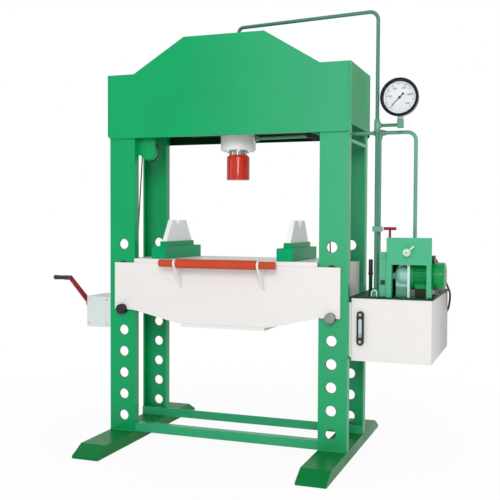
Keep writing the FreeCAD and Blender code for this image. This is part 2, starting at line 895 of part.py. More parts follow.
def grooved_wheel(x, z, rope_circle):
    """A sheave whose V groove keeps the rope on its circle."""
    floor = rope_circle - rope_radius - rope_gap
    rim = rope_circle + rope_radius
    half = sheave_width / 2
    bore = axle_radius + running_clearance
    profile = [(bore, 0), (rim, 0), (rim, half - sheave_flange - 1), (floor, half - sheave_flange)]
    profile += [(floor, half + sheave_flange), (rim, half + sheave_flange + 1), (rim, sheave_width)]
    profile += [(bore, sheave_width)]
    return turned(profile, Vector(x, rope_plane_y - half, z), ALONG_Y)


def sheave_axle(x):
    """A stub that stands out of the bracket, with a head that keeps the sheave on."""
    start = -flange_end + bracket_thickness
    near = rope_plane_y - sheave_width / 2 - sheave_end_play
    far = rope_plane_y + sheave_width / 2 + sheave_end_play
    z = sheave_height
    stub = rod(axle_radius, Vector(x, start, z), Vector(x, far, z))
    collar = rod(axle_head_radius, Vector(x, start, z), Vector(x, near, z))
    head = rod(axle_head_radius, Vector(x, far, z), Vector(x, far + axle_head_thickness, z))
    return stub.fuse([collar, head])


def left_bracket():
    """A plate on the front post's flanges with a sheave axle, and an ear with the rope's anchor saddle."""
    outer = winch_fall_x - bracket_past_fall
    foot = bracket_bottom - ear_drop
    outline = [(outer, bracket_top), (outer, bracket_bottom), (-post_outer + side_tie_width + tie_gap, bracket_bottom)]
    outline += [(-post_inner - 2 * tie_gap, foot), (saddle_x - ear_radius / 2, foot)]
    outline += [(saddle_x + ear_radius, saddle_height), (saddle_x + ear_radius, bracket_top - bracket_corner)]
    outline += [(saddle_x, bracket_top)]
    plate = plate_xz(outline, -flange_end, bracket_thickness)
    ear = rod(ear_radius, Vector(saddle_x, -flange_end, saddle_height),
              Vector(saddle_x, -flange_end + bracket_thickness, saddle_height))
    radius = saddle_rope_radius - rope_radius - rope_gap
    saddle = rod(radius, Vector(saddle_x, -flange_end + bracket_thickness, saddle_height),
                 Vector(saddle_x, rope_plane_y + 2 * saddle_cheek, saddle_height))
    cheek = rod(radius + rope_radius, Vector(saddle_x, rope_plane_y + 2 * saddle_cheek, saddle_height),
                Vector(saddle_x, rope_plane_y + 3 * saddle_cheek, saddle_height))
    return plate.fuse([ear, saddle, cheek, sheave_axle(left_sheave_x)]).removeSplitter()


def right_bracket():
    outline = [(post_outer, bracket_top), (post_outer, bracket_bottom), (post_inner, bracket_bottom)]
    outline += [(right_sheave_x - axle_head_radius - bracket_margin, sheave_height - axle_head_radius - bracket_margin)]
    outline += [(right_sheave_x - axle_head_radius - bracket_margin, bracket_top)]
    plate = plate_xz(outline, -flange_end, bracket_thickness)
    return plate.fuse(sheave_axle(right_sheave_x)).removeSplitter()


def rope_fall(x_top, z_top, x_low):
    """A straight fall from its top to the pulley's side, cut level at both ends."""
    top = Vector(x_top, rope_plane_y, z_top)
    low = Vector(x_low, rope_plane_y, pulley_height + end_gap)
    bottom = Part.Wire([Part.makeCircle(rope_radius, low, ALONG_Z)])
    ceiling = Part.Wire([Part.makeCircle(rope_radius, top, ALONG_Z)])
    return Part.makeLoft([bottom, ceiling], True, True)


def arc_edge(x, z, radius, first, last):
    """An arc in the rope's plane, by angles from +X towards +Z."""
    def at(degrees):
        turn = math.radians(degrees)
        return Vector(x + radius * math.cos(turn), rope_plane_y, z + radius * math.sin(turn))
    return Part.Arc(at(first), at((first + last) / 2), at(last)).toShape()


def line_edge(x0, z0, x1, z1):
    return Part.LineSegment(Vector(x0, rope_plane_y, z0), Vector(x1, rope_plane_y, z1)).toShape()


def head_rope():
    """The run over both head sheaves and down to the drum, and the dead end round the saddle."""
    radius = sheave_rope_radius
    top = sheave_height + radius
    edges = [arc_edge(right_sheave_x, sheave_height, radius, 0, 90)]
    edges += [line_edge(right_sheave_x, top, left_sheave_x, top)]
    edges += [arc_edge(left_sheave_x, sheave_height, radius, 90, 180)]
    edges += [line_edge(winch_fall_x, sheave_height, winch_fall_x, drum_axis_z)]
    start = Vector(right_sheave_x + radius, rope_plane_y, sheave_height)
    run = swept(Part.Wire(edges), start, ALONG_Z, rope_radius)
    around = saddle_rope_radius
    wrap = Part.Wire([arc_edge(saddle_x, saddle_height, around, 180, 45),
                      arc_edge(saddle_x, saddle_height, around, 45, -90)])
    start = Vector(saddle_x - around, rope_plane_y, saddle_height)
    return run, swept(wrap, start, ALONG_Z, rope_radius)


def table_rope():
    radius = pulley_rope_radius
    low = pulley_height - radius
    edges = [arc_edge(-pulley_x, pulley_height, radius, 180, 270), line_edge(-pulley_x, low, pulley_x, low)]
    edges += [arc_edge(pulley_x, pulley_height, radius, 270, 360)]
    start = Vector(-pulley_x - radius, rope_plane_y, pulley_height)
    return swept(Part.Wire(edges), start, ALONG_Z * -1, rope_radius)


# ---- winch -------------------------------------------------------------------------------------------------

def gear_outline(teeth, x, centre_y, centre_z, phase):
    """A toothed wheel's outline in the Y-Z plane: straight-flanked teeth on the gear's module."""
    root = gear_module * (teeth / 2 - 1.25)
    tip = gear_module * (teeth / 2 + 0.9)
    step = 360 / teeth
    points = []
    for i in range(teeth):
        middle = phase + i * step
        for share, radius in ((-0.34, root), (-0.12, tip), (0.12, tip), (0.34, root)):
            turn = math.radians(middle + share * step)
            points.append(Vector(x, centre_y + radius * math.cos(turn), centre_z + radius * math.sin(turn)))
    return points


def winch_bores(shape, start, end, clearance):
    shape = shape.cut(rod(shaft_radius + clearance, Vector(start, drum_axis_y, drum_axis_z),
                          Vector(end, drum_axis_y, drum_axis_z)))
    return shape.cut(rod(shaft_radius + clearance, Vector(start, crank_y, crank_z), Vector(end, crank_y, crank_z)))


def winch_box():
    """A folded casing, open to the post and closed there by a base plate; both carry the shafts."""
    left = winch_left
    front = -web_out
    outer = box(left, winch_x - winch_base, front, front + winch_depth, winch_bottom, winch_top)
    outer = outer.makeFillet(winch_bend, [e for e in outer.Edges if abs(e.CenterOfMass.x - left) < 0.1])
    inner = box(left + winch_wall, winch_x, front + winch_wall, front + winch_depth - winch_wall,
                winch_bottom + winch_wall, winch_top - winch_wall)
    half = winch_slot_width / 2
    slot = box(winch_fall_x - 10, winch_x, rope_plane_y - half, rope_plane_y + half, winch_top - winch_wall - 1,
               winch_top + 1)
    casing = outer.cut(inner).cut(slot)
    casing = winch_bores(casing, left - 1, left + winch_wall + 1, running_clearance)
    base = box(winch_x - winch_base, winch_x, front, front + winch_depth, winch_bottom, winch_top)
    return casing, winch_bores(base, winch_x - winch_base - 1, winch_x + 1, running_clearance)


def rope_drum():
    """The drum on its shaft with its spur gear, and the layer of rope that is wound on it."""
    start = Vector(winch_left, drum_axis_y, drum_axis_z)
    end = Vector(winch_x, drum_axis_y, drum_axis_z)
    shaft = rod(shaft_radius, start, end)
    barrel = rod(drum_radius, Vector(drum_left, drum_axis_y, drum_axis_z), Vector(drum_right, drum_axis_y, drum_axis_z))
    flanges = []
    for x in (drum_left - drum_flange, drum_right):
        flanges.append(rod(drum_flange_radius, Vector(x, drum_axis_y, drum_axis_z),
                           Vector(x + drum_flange, drum_axis_y, drum_axis_z)))
    hub = rod(drum_hub_radius, Vector(gear_left, drum_axis_y, drum_axis_z), Vector(drum_left, drum_axis_y, drum_axis_z))
    drum = shaft.fuse([barrel, hub] + flanges).removeSplitter()
    phase = pinion_angle + 180 / gear_teeth
    outline = gear_outline(gear_teeth, gear_left, drum_axis_y, drum_axis_z, phase)
    wheel = prism(outline, ALONG_X * gear_width)
    wheel = wheel.cut(rod(drum_hub_radius, Vector(gear_left - 1, drum_axis_y, drum_axis_z),
                          Vector(gear_left + gear_width + 1, drum_axis_y, drum_axis_z)))
    return drum, wheel


def crank_shaft():
    """The crank's shaft with its pinion."""
    shaft = rod(shaft_radius, Vector(winch_left - crank_shaft_reach, crank_y, crank_z), Vector(winch_x, crank_y, crank_z))
    outline = gear_outline(pinion_teeth, gear_left - pinion_overlap, crank_y, crank_z, pinion_angle + 180)
    return shaft.fuse(prism(outline, ALONG_X * (gear_width + 2 * pinion_overlap))).removeSplitter()


def crank_arm():
    """A flat arm with round ends, its hub on the shaft and a hole for the grip's spindle."""
    half = crank_arm_width / 2
    turn = math.radians(crank_lean)
    along = Vector(0, math.cos(turn), math.sin(turn))
    across = Vector(0, -math.sin(turn), math.cos(turn))
    foot = Vector(crank_arm_x, crank_y, crank_z)
    tip = foot + along * crank_length
    tip_half = crank_tip_width / 2
    corners = [foot + across * half, foot - across * half, tip - across * tip_half, tip + across * tip_half]
    arm = prism(corners, ALONG_X * crank_arm_thickness)
    depth = ALONG_X * crank_arm_thickness
    hub = rod(half + crank_hub_margin, foot - ALONG_X * crank_hub_past, foot + depth + ALONG_X * crank_hub_past)
    arm = arm.fuse([hub, rod(tip_half, tip, tip + depth)]).removeSplitter()
    arm = arm.cut(rod(shaft_radius, foot - ALONG_X * 2 * crank_hub_past, foot + ALONG_X * crank_length))
    return arm.cut(rod(grip_spindle_radius + running_clearance, tip - ALONG_X, tip + depth + ALONG_X))


def crank_grip():
    """A round grip on its spindle, riveted over behind the arm."""
    start = crank_arm_x - grip_end_play
    end = start - grip_length
    behind = crank_arm_x + crank_arm_thickness + grip_end_play
    edge = grip_edge
    profile = [(0, 0), (grip_radius - edge, 0), (grip_radius, 2 * edge), (grip_radius - edge / 2, grip_length / 2)]
    profile += [(grip_radius, grip_length - 2 * edge), (grip_radius - edge, grip_length)]
    length = behind - end
    profile += [(grip_spindle_radius, grip_length), (grip_spindle_radius, length), (grip_head_radius, length)]
    profile += [(grip_head_radius - 1, length + grip_head_length), (0, length + grip_head_length)]
    return turned(profile, Vector(end, grip_y, grip_z), ALONG_X)


# ---- tank --------------------------------------------------------------------------------------------------

def tank_body():
    """An open box welded from a floor and four walls with rounded corners, and two strips that hold it to the
    posts."""
    right = tank_x + tank_width
    rear = tank_front + tank_depth
    low = tank_bottom + tank_wall
    high = tank_bottom + tank_height
    floor = box(tank_x, right, tank_front, rear, tank_bottom, low)
    front_wall = box(tank_x, right, tank_front, tank_front + tank_wall, low, high)
    rear_wall = box(tank_x, right, rear - tank_wall, rear, low, high)
    left_wall = box(tank_x, tank_x + tank_wall, tank_front + tank_wall, rear - tank_wall, low, high)
    right_wall = box(right - tank_wall, right, tank_front + tank_wall, rear - tank_wall, low, high)
    rounded = []
    for piece in (floor, front_wall, rear_wall):
        corners = []
        for edge in piece.Edges:
            upright = abs(edge.tangentAt(edge.FirstParameter).z) > 0.9
            outside = min(abs(edge.CenterOfMass.y - tank_front), abs(edge.CenterOfMass.y - rear)) < 0.1
            if upright and outside:
                corners.append(edge)
        rounded.append(piece.makeFillet(min(tank_corner, 0.9 * tank_wall), corners))
    low = tank_bottom + tank_strip_inset
    high = high - tank_strip_inset
    front_strip = box(post_outer, tank_x, tank_front + tank_strip_back, -flange_end, low, high)
    rear_strip = box(post_outer, tank_x, flange_end, web_out, low, high)
    return *rounded, left_wall, right_wall, front_strip, rear_strip


def tank_lid():
    """The lid with the filler neck welded into it and a hole for the suction pipe, and its lifting eye."""
    low = lid_top - lid_thickness
    lid = box(tank_x - lid_overhang, tank_x + tank_width + lid_overhang, tank_front - lid_overhang,
              tank_front + tank_depth + lid_overhang, low, lid_top)
    neck = rod(filler_radius, Vector(filler_x, filler_y, low), Vector(filler_x, filler_y, lid_top + filler_height))
    bore = rod(filler_bore, Vector(filler_x, filler_y, low - 1),
               Vector(filler_x, filler_y, lid_top + filler_height + 1))
    lid = lid.fuse(neck).removeSplitter().cut(bore)
    lid = lid.cut(rod(suction_radius + seat_clearance, Vector(suction_x, motor_axis_y, low - 1),
                      Vector(suction_x, motor_axis_y, lid_top + 1)))
    left = eye_x - eye_width / 2 + eye_wire_radius
    right = eye_x + eye_width / 2 - eye_wire_radius
    crown = lid_top + eye_height - eye_wire_radius
    bend = (right - left) * 0.48
    eye = pipe([(left, eye_y, lid_top), (left, eye_y, crown), (right, eye_y, crown), (right, eye_y, lid_top)],
               [bend, bend], eye_wire_radius, None)
    return lid, eye


def level_gauge():
    """A black frame on the tank's front with a clear window between two bolts."""
    low = tank_front - level_depth
    half = level_width / 2
    frame = box(level_x - half, level_x + half, low, tank_front, level_bottom, level_bottom + level_height)
    upright = [e for e in frame.Edges if abs(e.tangentAt(e.FirstParameter).y) > 0.9]
    frame = frame.makeFillet(half - 1, upright)
    middle = level_bottom + level_height / 2
    x0 = level_x - level_window_width / 2
    x1 = level_x + level_window_width / 2
    z0 = middle - level_window_length / 2
    z1 = middle + level_window_length / 2
    frame = frame.cut(box(x0, x1, low - 1, low + level_depth - 3, z0, z1))
    window = box(x0, x1, low + 2, low + level_depth - 3, z0, z1)
    bolts = []
    for z in (level_bottom + half, level_bottom + level_height - half):
        bolts.append(hexagon(2 * level_bolt_radius, Vector(level_x, low, z), ALONG_Y * -1, 4))
    return [frame, window] + bolts


# ---- valve panel and valves --------------------------------------------------------------------------------

def valve_panel():
    """A plate folded back at both sides, standing on the lid, with a window that is open at the bottom."""
    top = lid_top + panel_height
    right = panel_x + panel_width
    plate = box(panel_x, right, panel_front, panel_front + panel_thickness, lid_top, top)
    left_side = box(panel_x, panel_x + panel_thickness, panel_front, panel_front + panel_return, lid_top, top)
    right_side = box(right - panel_thickness, right, panel_front, panel_front + panel_return, lid_top, top)
    window = box(panel_window_x, panel_window_x + panel_window_width, panel_front - 1,
                 panel_front + panel_thickness + 1, lid_top - 1, lid_top + panel_window_top)
    stem = rod(knob_stem_radius + seat_clearance, Vector(valve_x, panel_front - 1, knob_height),
               Vector(valve_x, panel_front + panel_thickness + 1, knob_height))
    return plate.fuse([left_side, right_side]).removeSplitter().cut(window).cut(stem)


def release_valve():
    """A valve block with a bonnet for the T handle's stem and a plug in its face."""
    x0 = release_block_x
    y0 = release_block_front
    top = lid_top + release_block_height
    block = box(x0, x0 + release_block_width, y0, y0 + release_block_depth, lid_top, top)
    block = block.makeChamfer(2, block.Edges)
    centre = Vector(t_stem_x, y0 + release_block_depth / 2, top)
    bonnet = hexagon(2 * t_bonnet_radius, centre, ALONG_Z, t_bonnet_height)
    plug = hexagon(18, Vector(x0 + 16, y0, lid_top + 62), ALONG_Y * -1, 5)
    step = box(x0, x0 + release_block_width * 0.55, y0 + 4, y0 + release_block_depth - 4, top, top + release_step_height)
    stem_hole = rod(t_stem_radius + running_clearance, centre - ALONG_Z * 30, centre + ALONG_Z * (t_bonnet_height + 1))
    return block.fuse([bonnet, plug, step]).removeSplitter().cut(stem_hole)


def t_handle():
    """The release valve's screw stem with its cross bar."""
    y = release_block_front + release_block_depth / 2
    foot = Vector(t_stem_x, y, lid_top + release_block_height - 29)
    bar_z = lid_top + t_handle_height
    stem = rod(t_stem_radius, foot, Vector(t_stem_x, y, bar_z))
    half = t_bar_length / 2
    profile = [(0, 0), (t_bar_radius - 2, 0), (t_bar_radius, 2), (t_bar_radius, t_bar_length - 2)]
    profile += [(t_bar_radius - 2, t_bar_length), (0, t_bar_length)]
    bar = turned(profile, Vector(t_stem_x - half, y, bar_z), ALONG_X)
    return stem.fuse(bar).removeSplitter()


def control_valve():
    """The directional valve behind the panel, held to it by its spacer and with a pipe port on top, and the black
    manifold block on the lid, which stands behind the release valve and reaches round the pump."""
    y0 = panel_front + panel_thickness
    half = valve_width / 2
    body = box(valve_x - half, valve_x + half, y0 + valve_spacer, y0 + valve_depth,
               valve_bottom, valve_bottom + valve_height)
    body = body.makeChamfer(3, body.Edges)
    spacer = rod(knob_stem_radius + 12, Vector(valve_x, y0, knob_height),
                 Vector(valve_x, y0 + valve_spacer + 2, knob_height))
    port = hexagon(26, Vector(branch_x, return_y, valve_bottom + valve_height), ALONG_Z, valve_port_height)
    body = body.fuse([spacer, port]).removeSplitter()
    bore = rod(knob_stem_radius + running_clearance, Vector(valve_x, y0 - 1, knob_height),
               Vector(valve_x, y0 + 50, knob_height))
    socket = rod(pipe_bore, Vector(branch_x, return_y, valve_bottom + valve_height - 20),
                 Vector(branch_x, return_y, valve_bottom + valve_height + valve_port_height + 1))
    x0 = tank_x + manifold_in
    rear = tank_front + manifold_back
    top = lid_top + manifold_height
    block = box(x0, pump_left - pump_gap, release_block_front + release_block_depth, rear, lid_top, top)
    arm = box(x0, tank_x + manifold_reach, rear - manifold_plate, rear, lid_top, top)
    manifold = block.fuse(arm).removeSplitter()
    upright = [e for e in manifold.Edges if abs(e.tangentAt(e.FirstParameter).z) > 0.9]
    return body.cut(bore).cut(socket), manifold.makeChamfer(1.5, upright)


def control_knob():
    """A round knob on the valve's spindle, with a short lever out of its rim."""
    face = panel_front - knob_gap
    profile = [(0, 0), (knob_radius - 6, 0), (knob_radius, 5), (knob_radius, knob_length - 3)]
    profile += [(knob_radius - 4, knob_length), (knob_stem_radius, knob_length)]
    spindle = knob_gap + panel_thickness + 45
    profile += [(knob_stem_radius, knob_length + spindle), (0, knob_length + spindle)]
    knob = turned(profile, Vector(valve_x, face - knob_length, knob_height), ALONG_Y)
    turn = math.radians(lever_angle)
    along = Vector(math.cos(turn), 0, math.sin(turn))
    start = Vector(valve_x, face - knob_length * 0.6, knob_height) + along * (knob_radius - 4)
    lever = rod(lever_radius, start, start + along * (lever_length - knob_radius + 4))
    return knob.fuse(lever).removeSplitter()


# ---- pump and motor ----------------------------------------------------------------------------------------

def along_motor(x):
    return Vector(x, motor_axis_y, motor_axis_z)


def pump_bell():
    """The pump's boss on the domed bell housing that joins it to the motor, with its foot and its upright flange."""
    far = bell_left + bell_length
    dome = rod(bell_radius, along_motor(bell_left), along_motor(far))
    front = [e for e in dome.Edges if abs(e.CenterOfMass.x - bell_left) < 0.1]
    dome = dome.makeFillet(min(bell_round, 0.8 * bell_radius), front)
    boss = rod(pump_radius, along_motor(pump_left), along_motor(bell_left + 1))
    half = bell_foot_depth / 2
    foot = box(bell_left + bell_foot_in, bell_left + bell_foot_in + bell_foot_length, motor_axis_y - half,
               motor_axis_y + half, lid_top, motor_axis_z)
    flange = box(far, far + bell_flange, motor_axis_y - bell_flange_radius, motor_axis_y + bell_flange_radius,
                 lid_top, motor_axis_z + bell_flange_radius)
    corners = [e for e in flange.Edges if abs(e.tangentAt(e.FirstParameter).x) > 0.9 and e.CenterOfMass.z > motor_axis_z]
    flange = flange.makeFillet(bell_round / 2, corners)
    room = rod(bell_radius - bell_wall, along_motor(bell_left + bell_front), along_motor(far + bell_flange + 1))
    return dome.fuse([boss, foot, flange]).removeSplitter().cut(room)


def motor_casing():
    """The finned stator shell with its end plate and feet, and the slotted fan cover behind it."""
    end = motor_end
    shell = tube(motor_radius, rotor_radius + rotor_gap, along_motor(motor_left + motor_end_plate), along_motor(end))
    plate = tube(bell_flange_radius, rotor_shaft_radius + shaft_room, along_motor(motor_left),
                 along_motor(motor_left + motor_end_plate))
    pieces = [plate]
    for i in range(fin_count):
        fin = box(motor_left + motor_end_plate, end, motor_axis_y - fin_width / 2, motor_axis_y + fin_width / 2,
                  motor_axis_z + motor_radius - fin_root, motor_axis_z + motor_radius + fin_depth)
        fin.rotate(along_motor(0), ALONG_X, (i + 0.5) * 360 / fin_count)
        pieces.append(fin)
    foot = box(end - motor_foot_end - motor_foot_length, end - motor_foot_end, motor_axis_y - motor_foot_depth / 2,
               motor_axis_y + motor_foot_depth / 2, lid_top, motor_axis_z - motor_radius / 2)
    foot = foot.cut(rod(motor_radius - fin_root, along_motor(motor_left), along_motor(end)))
    gap = box(motor_left, end, motor_axis_y - motor_foot_depth / 2 + motor_foot_width,
              motor_axis_y + motor_foot_depth / 2 - motor_foot_width, lid_top - 1, lid_top + motor_foot_gap)
    shell = shell.fuse(pieces + [foot.cut(gap)]).removeSplitter()
    cover = rod(fan_cover_radius, along_motor(end), along_motor(end + fan_cover_length))
    rim = [e for e in cover.Edges if abs(e.CenterOfMass.x - end - fan_cover_length) < 0.1]
    cover = cover.makeFillet(fan_cover_round, rim)
    cover = cover.cut(rod(fan_cover_radius - fan_cover_wall, along_motor(end - 1),
                          along_motor(end + fan_cover_length - fan_cover_wall)))
    for i in range(fan_slot_count):
        slot = box(end + fan_cover_length - fan_cover_wall - 1, end + fan_cover_length + 1,
                   motor_axis_y - fan_slot_width / 2, motor_axis_y + fan_slot_width / 2,
                   motor_axis_z + fan_slot_inset, motor_axis_z + fan_cover_radius - fan_slot_inset)
        slot.rotate(along_motor(0), ALONG_X, i * 360 / fan_slot_count)
        cover = cover.cut(slot)
    return shell, cover


def motor_rotor():
    """The rotor core on its shaft, with the cooling fan at the rear end."""
    end = motor_end
    fan_start = end + fan_gap
    fan_end = end + fan_cover_length - fan_cover_wall - fan_room
    shaft = rod(rotor_shaft_radius, along_motor(motor_left - shaft_reach), along_motor(fan_end))
    core = rod(rotor_radius, along_motor(motor_left + motor_end_plate + rotor_end_room),
               along_motor(end - rotor_end_room))
    hub = rod(fan_hub_radius, along_motor(fan_start), along_motor(fan_end))
    disc = rod(fan_radius - 2, along_motor(fan_start), along_motor(fan_start + fan_disc))
    blades = []
    for i in range(fan_blades):
        blade = box(fan_start, fan_end, motor_axis_y - fan_disc / 2, motor_axis_y + fan_disc / 2,
                    motor_axis_z + rotor_shaft_radius, motor_axis_z + fan_radius)
        blade.rotate(along_motor(0), ALONG_X, i * 360 / fan_blades)
        blades.append(blade)
    return shaft.fuse([core, hub, disc] + blades).removeSplitter()


def electric_boxes():
    """The terminal box on the motor and the starter box on the tank's rear wall."""
    length, depth, height = terminal_box_size
    low = motor_axis_z + motor_radius + fin_depth
    terminal = box(terminal_box_x, terminal_box_x + length, motor_axis_y - depth / 2, motor_axis_y + depth / 2,
                   low, low + height)
    terminal = terminal.makeFillet(3, terminal.Edges)
    gland = rod(lead_radius + 3, lead_points()[0] - ALONG_Y * 14, lead_points()[0])
    length, depth, height = starter_size
    rear = tank_front + tank_depth
    starter = box(starter_x, starter_x + length, rear, rear + depth, starter_bottom, starter_bottom + height)
    starter = starter.makeFillet(3, starter.Edges)
    socket = rod(lead_radius + 3, lead_points()[-1], lead_points()[-1] - ALONG_X * 14)
    return terminal.fuse(gland).removeSplitter(), starter.fuse(socket).removeSplitter()


def lead_points():
    """The motor lead: out of the terminal box, down behind the motor, past the lid's rear right corner and into
    the starter box's side."""
    low = motor_axis_z + motor_radius + fin_depth
    x = terminal_box_x + terminal_box_size[0] - 14
    y = motor_axis_y + terminal_box_size[1] / 2 + 12
    rear = tank_front + tank_depth
    side = tank_x + tank_width + lid_overhang
    end_x = starter_x + starter_size[0] + 12
    end_y = rear + starter_size[1] / 2
    end_z = starter_bottom + starter_gland_rise
    points = [(x, y, low + 13), (x, y + 40, low + 13), (x + 5, y + 88, low - 2), (side - 2, y + 135, low - 44)]
    points += [(side + 8, rear - 225, lid_top + 58), (side + 10, rear - 160, lid_top + 31)]
    points += [(side + 8, rear - 95, lid_top + 14), (side + 6, rear - 40, lid_top)]
    points += [(side + 6, rear + 2, lid_top - 17), (side + 4, rear + 26, lid_top - 45)]
    points += [(side + 1, end_y + 1, end_z + 62), (side - 4, end_y, end_z + 26)]
    points += [(end_x + 30, end_y, end_z), (end_x, end_y, end_z)]
    return [Vector(*point) for point in points]


def motor_lead():
    points = lead_points()
    bends = []
    for before, corner, after in zip(points, points[1:], points[2:]):
        run = min((before - corner).Length, (after - corner).Length)
        turn = math.pi - (before - corner).getAngle(after - corner)
        bends.append(0.45 * run / math.tan(turn / 2))
    print("motor lead radii", [round(bend) for bend in bends])
    path = rounded_path(points, bends)
    lead = swept(path, points[0], points[1] - points[0], lead_radius)
    print("motor lead length", round(path.Length), "volume ratio",
          round(lead.Volume / (path.Length * math.pi * lead_radius ** 2), 4))
    return lead


def breather_cap():
    """A black breather that sits over the filler neck, with a plug that centres it in the bore."""
    low = lid_top + filler_height
    profile = [(0, -cap_plug), (filler_bore - 1, -cap_plug), (filler_bore - 1, 0), (cap_rim_radius, 0)]
    profile += [(cap_rim_radius, cap_rim_height - 1), (cap_rim_radius - 1, cap_rim_height)]
    profile += [(cap_radius, cap_rim_height), (cap_radius, cap_height - cap_round)]
    profile += [(cap_radius - cap_round, cap_height)]
    profile += [(0, cap_height)]
    return turned(profile, Vector(filler_x, filler_y, low), ALONG_Z)


# ---- pipes -------------------------------------------------------------------------------------------------

def pressure_pipe():
    """From the cylinder's cap up over the crest, to the right and down to the lid; and the gauge branch."""
    tee_low = gauge_pipe_height - tee_length / 2
    tee_high = gauge_pipe_height + tee_length / 2
    points = [(0, 0, barrel_top), (0, 0, pressure_top), (pressure_x, pressure_y, pressure_top - 3)]
    points += [(pressure_x, pressure_y, tee_high)]
    over = pipe(points, [pressure_cap_bend, pressure_bend])
    down = tube(pipe_radius, pipe_bore, Vector(pressure_x, pressure_y, lid_top + union_height),
                Vector(pressure_x, pressure_y, tee_low))
    start = Vector(pressure_x + tee_length / 2, pressure_y, gauge_pipe_height)
    end = Vector(gauge_x - gauge_elbow / 2, pressure_y, gauge_pipe_height)
    return over, down, tube(pipe_radius - 1, pipe_bore - 1, start, end)


def return_pipe():
    """From the collar's port to a cross, down to the lid, and on to the control valve's top."""
    port = gland_radius + gland_boss + return_nut_length
    left = return_x - tee_length / 2
    run = pipe([(port, 0, return_height), (port + return_lead, 0, return_height),
                (left - return_lead, return_y, return_height), (left, return_y, return_height)],
               [return_bend, return_bend])
    down = tube(pipe_radius, pipe_bore, Vector(return_x, return_y, lid_top + union_height),
                Vector(return_x, return_y, return_height - tee_length / 2))
    right = return_x + tee_length / 2
    top = valve_bottom + valve_height + valve_port_height
    branch = pipe([(right, return_y, return_height), (branch_x, return_y, return_height), (branch_x, return_y, top)],
                  [branch_bend])
    return run, down, branch


def pipe_fittings():
    """The tee and cross, the gauge elbow, the collar's port nut, the pipe clamp, the unions on the lid, the
    stub from the pump to the release valve, and the suction pipe with its strainer."""
    half = tee_length / 2
    pieces = []
    tee = rod(tee_radius, Vector(pressure_x, pressure_y, gauge_pipe_height - half),
              Vector(pressure_x, pressure_y, gauge_pipe_height + half))
    arm = rod(tee_radius - 1, Vector(pressure_x, pressure_y, gauge_pipe_height),
              Vector(pressure_x + half, pressure_y, gauge_pipe_height))
    pieces.append(tee.fuse(arm).removeSplitter())
    cross = rod(tee_radius, Vector(return_x, return_y, return_height - half),
                Vector(return_x, return_y, return_height + tee_radius))
    bar = rod(tee_radius - 1, Vector(return_x - half, return_y, return_height),
              Vector(return_x + half, return_y, return_height))
    pieces.append(cross.fuse(bar).removeSplitter())
    elbow_low = gauge_pipe_height - gauge_elbow / 2
    block = box(gauge_x - gauge_elbow / 2, gauge_x + gauge_elbow / 2, pressure_y - gauge_elbow / 2,
                pressure_y + gauge_elbow / 2, elbow_low, elbow_low + gauge_elbow * 1.4)
    pieces.append(block.makeFillet(4, block.Edges))
    port = Vector(gland_radius + gland_boss, 0, return_height)
    pieces.append(hexagon(24, port, ALONG_X, return_nut_length))
    y0 = pressure_y - pipe_radius - 6
    y1 = return_y + pipe_radius + 6
    x0 = pressure_x - pipe_radius - 6
    clamp = box(x0, return_x + pipe_radius + 6, y0, y1, clamp_height - clamp_thickness / 2,
                clamp_height + clamp_thickness / 2)
    for x, y in ((pressure_x, pressure_y), (return_x, return_y)):
        clamp = clamp.cut(rod(pipe_radius + running_clearance, Vector(x, y, clamp_height - clamp_thickness),
                              Vector(x, y, clamp_height + clamp_thickness)))
    pieces.append(clamp)
    for x, y in ((pressure_x, pressure_y), (return_x, return_y)):
        nut = hexagon(2 * union_radius, Vector(x, y, lid_top), ALONG_Z, union_height * 0.6)
        neck = rod(union_radius - 3, Vector(x, y, lid_top + union_height * 0.6), Vector(x, y, lid_top + union_height))
        pieces.append(nut.fuse(neck).removeSplitter())
    stub = Vector(release_block_x + release_block_width, motor_axis_y - stub_aside, motor_axis_z - stub_drop)
    pieces.append(rod(pipe_radius + 1, stub, Vector(bell_left + bell_front, stub.y, stub.z)).cut(pump_bell()))
    strainer_low = tank_bottom + tank_wall + strainer_rise
    suction = rod(suction_radius, Vector(suction_x, motor_axis_y, strainer_low + strainer_length),
                  Vector(suction_x, motor_axis_y, lid_top))
    strainer = rod(strainer_radius, Vector(suction_x, motor_axis_y, strainer_low),
                   Vector(suction_x, motor_axis_y, strainer_low + strainer_length))
    pieces.append(suction.fuse(strainer).removeSplitter())
    return pieces


# ---- gauge -------------------------------------------------------------------------------------------------

def gauge_front():
    return gauge_y - gauge_depth / 2


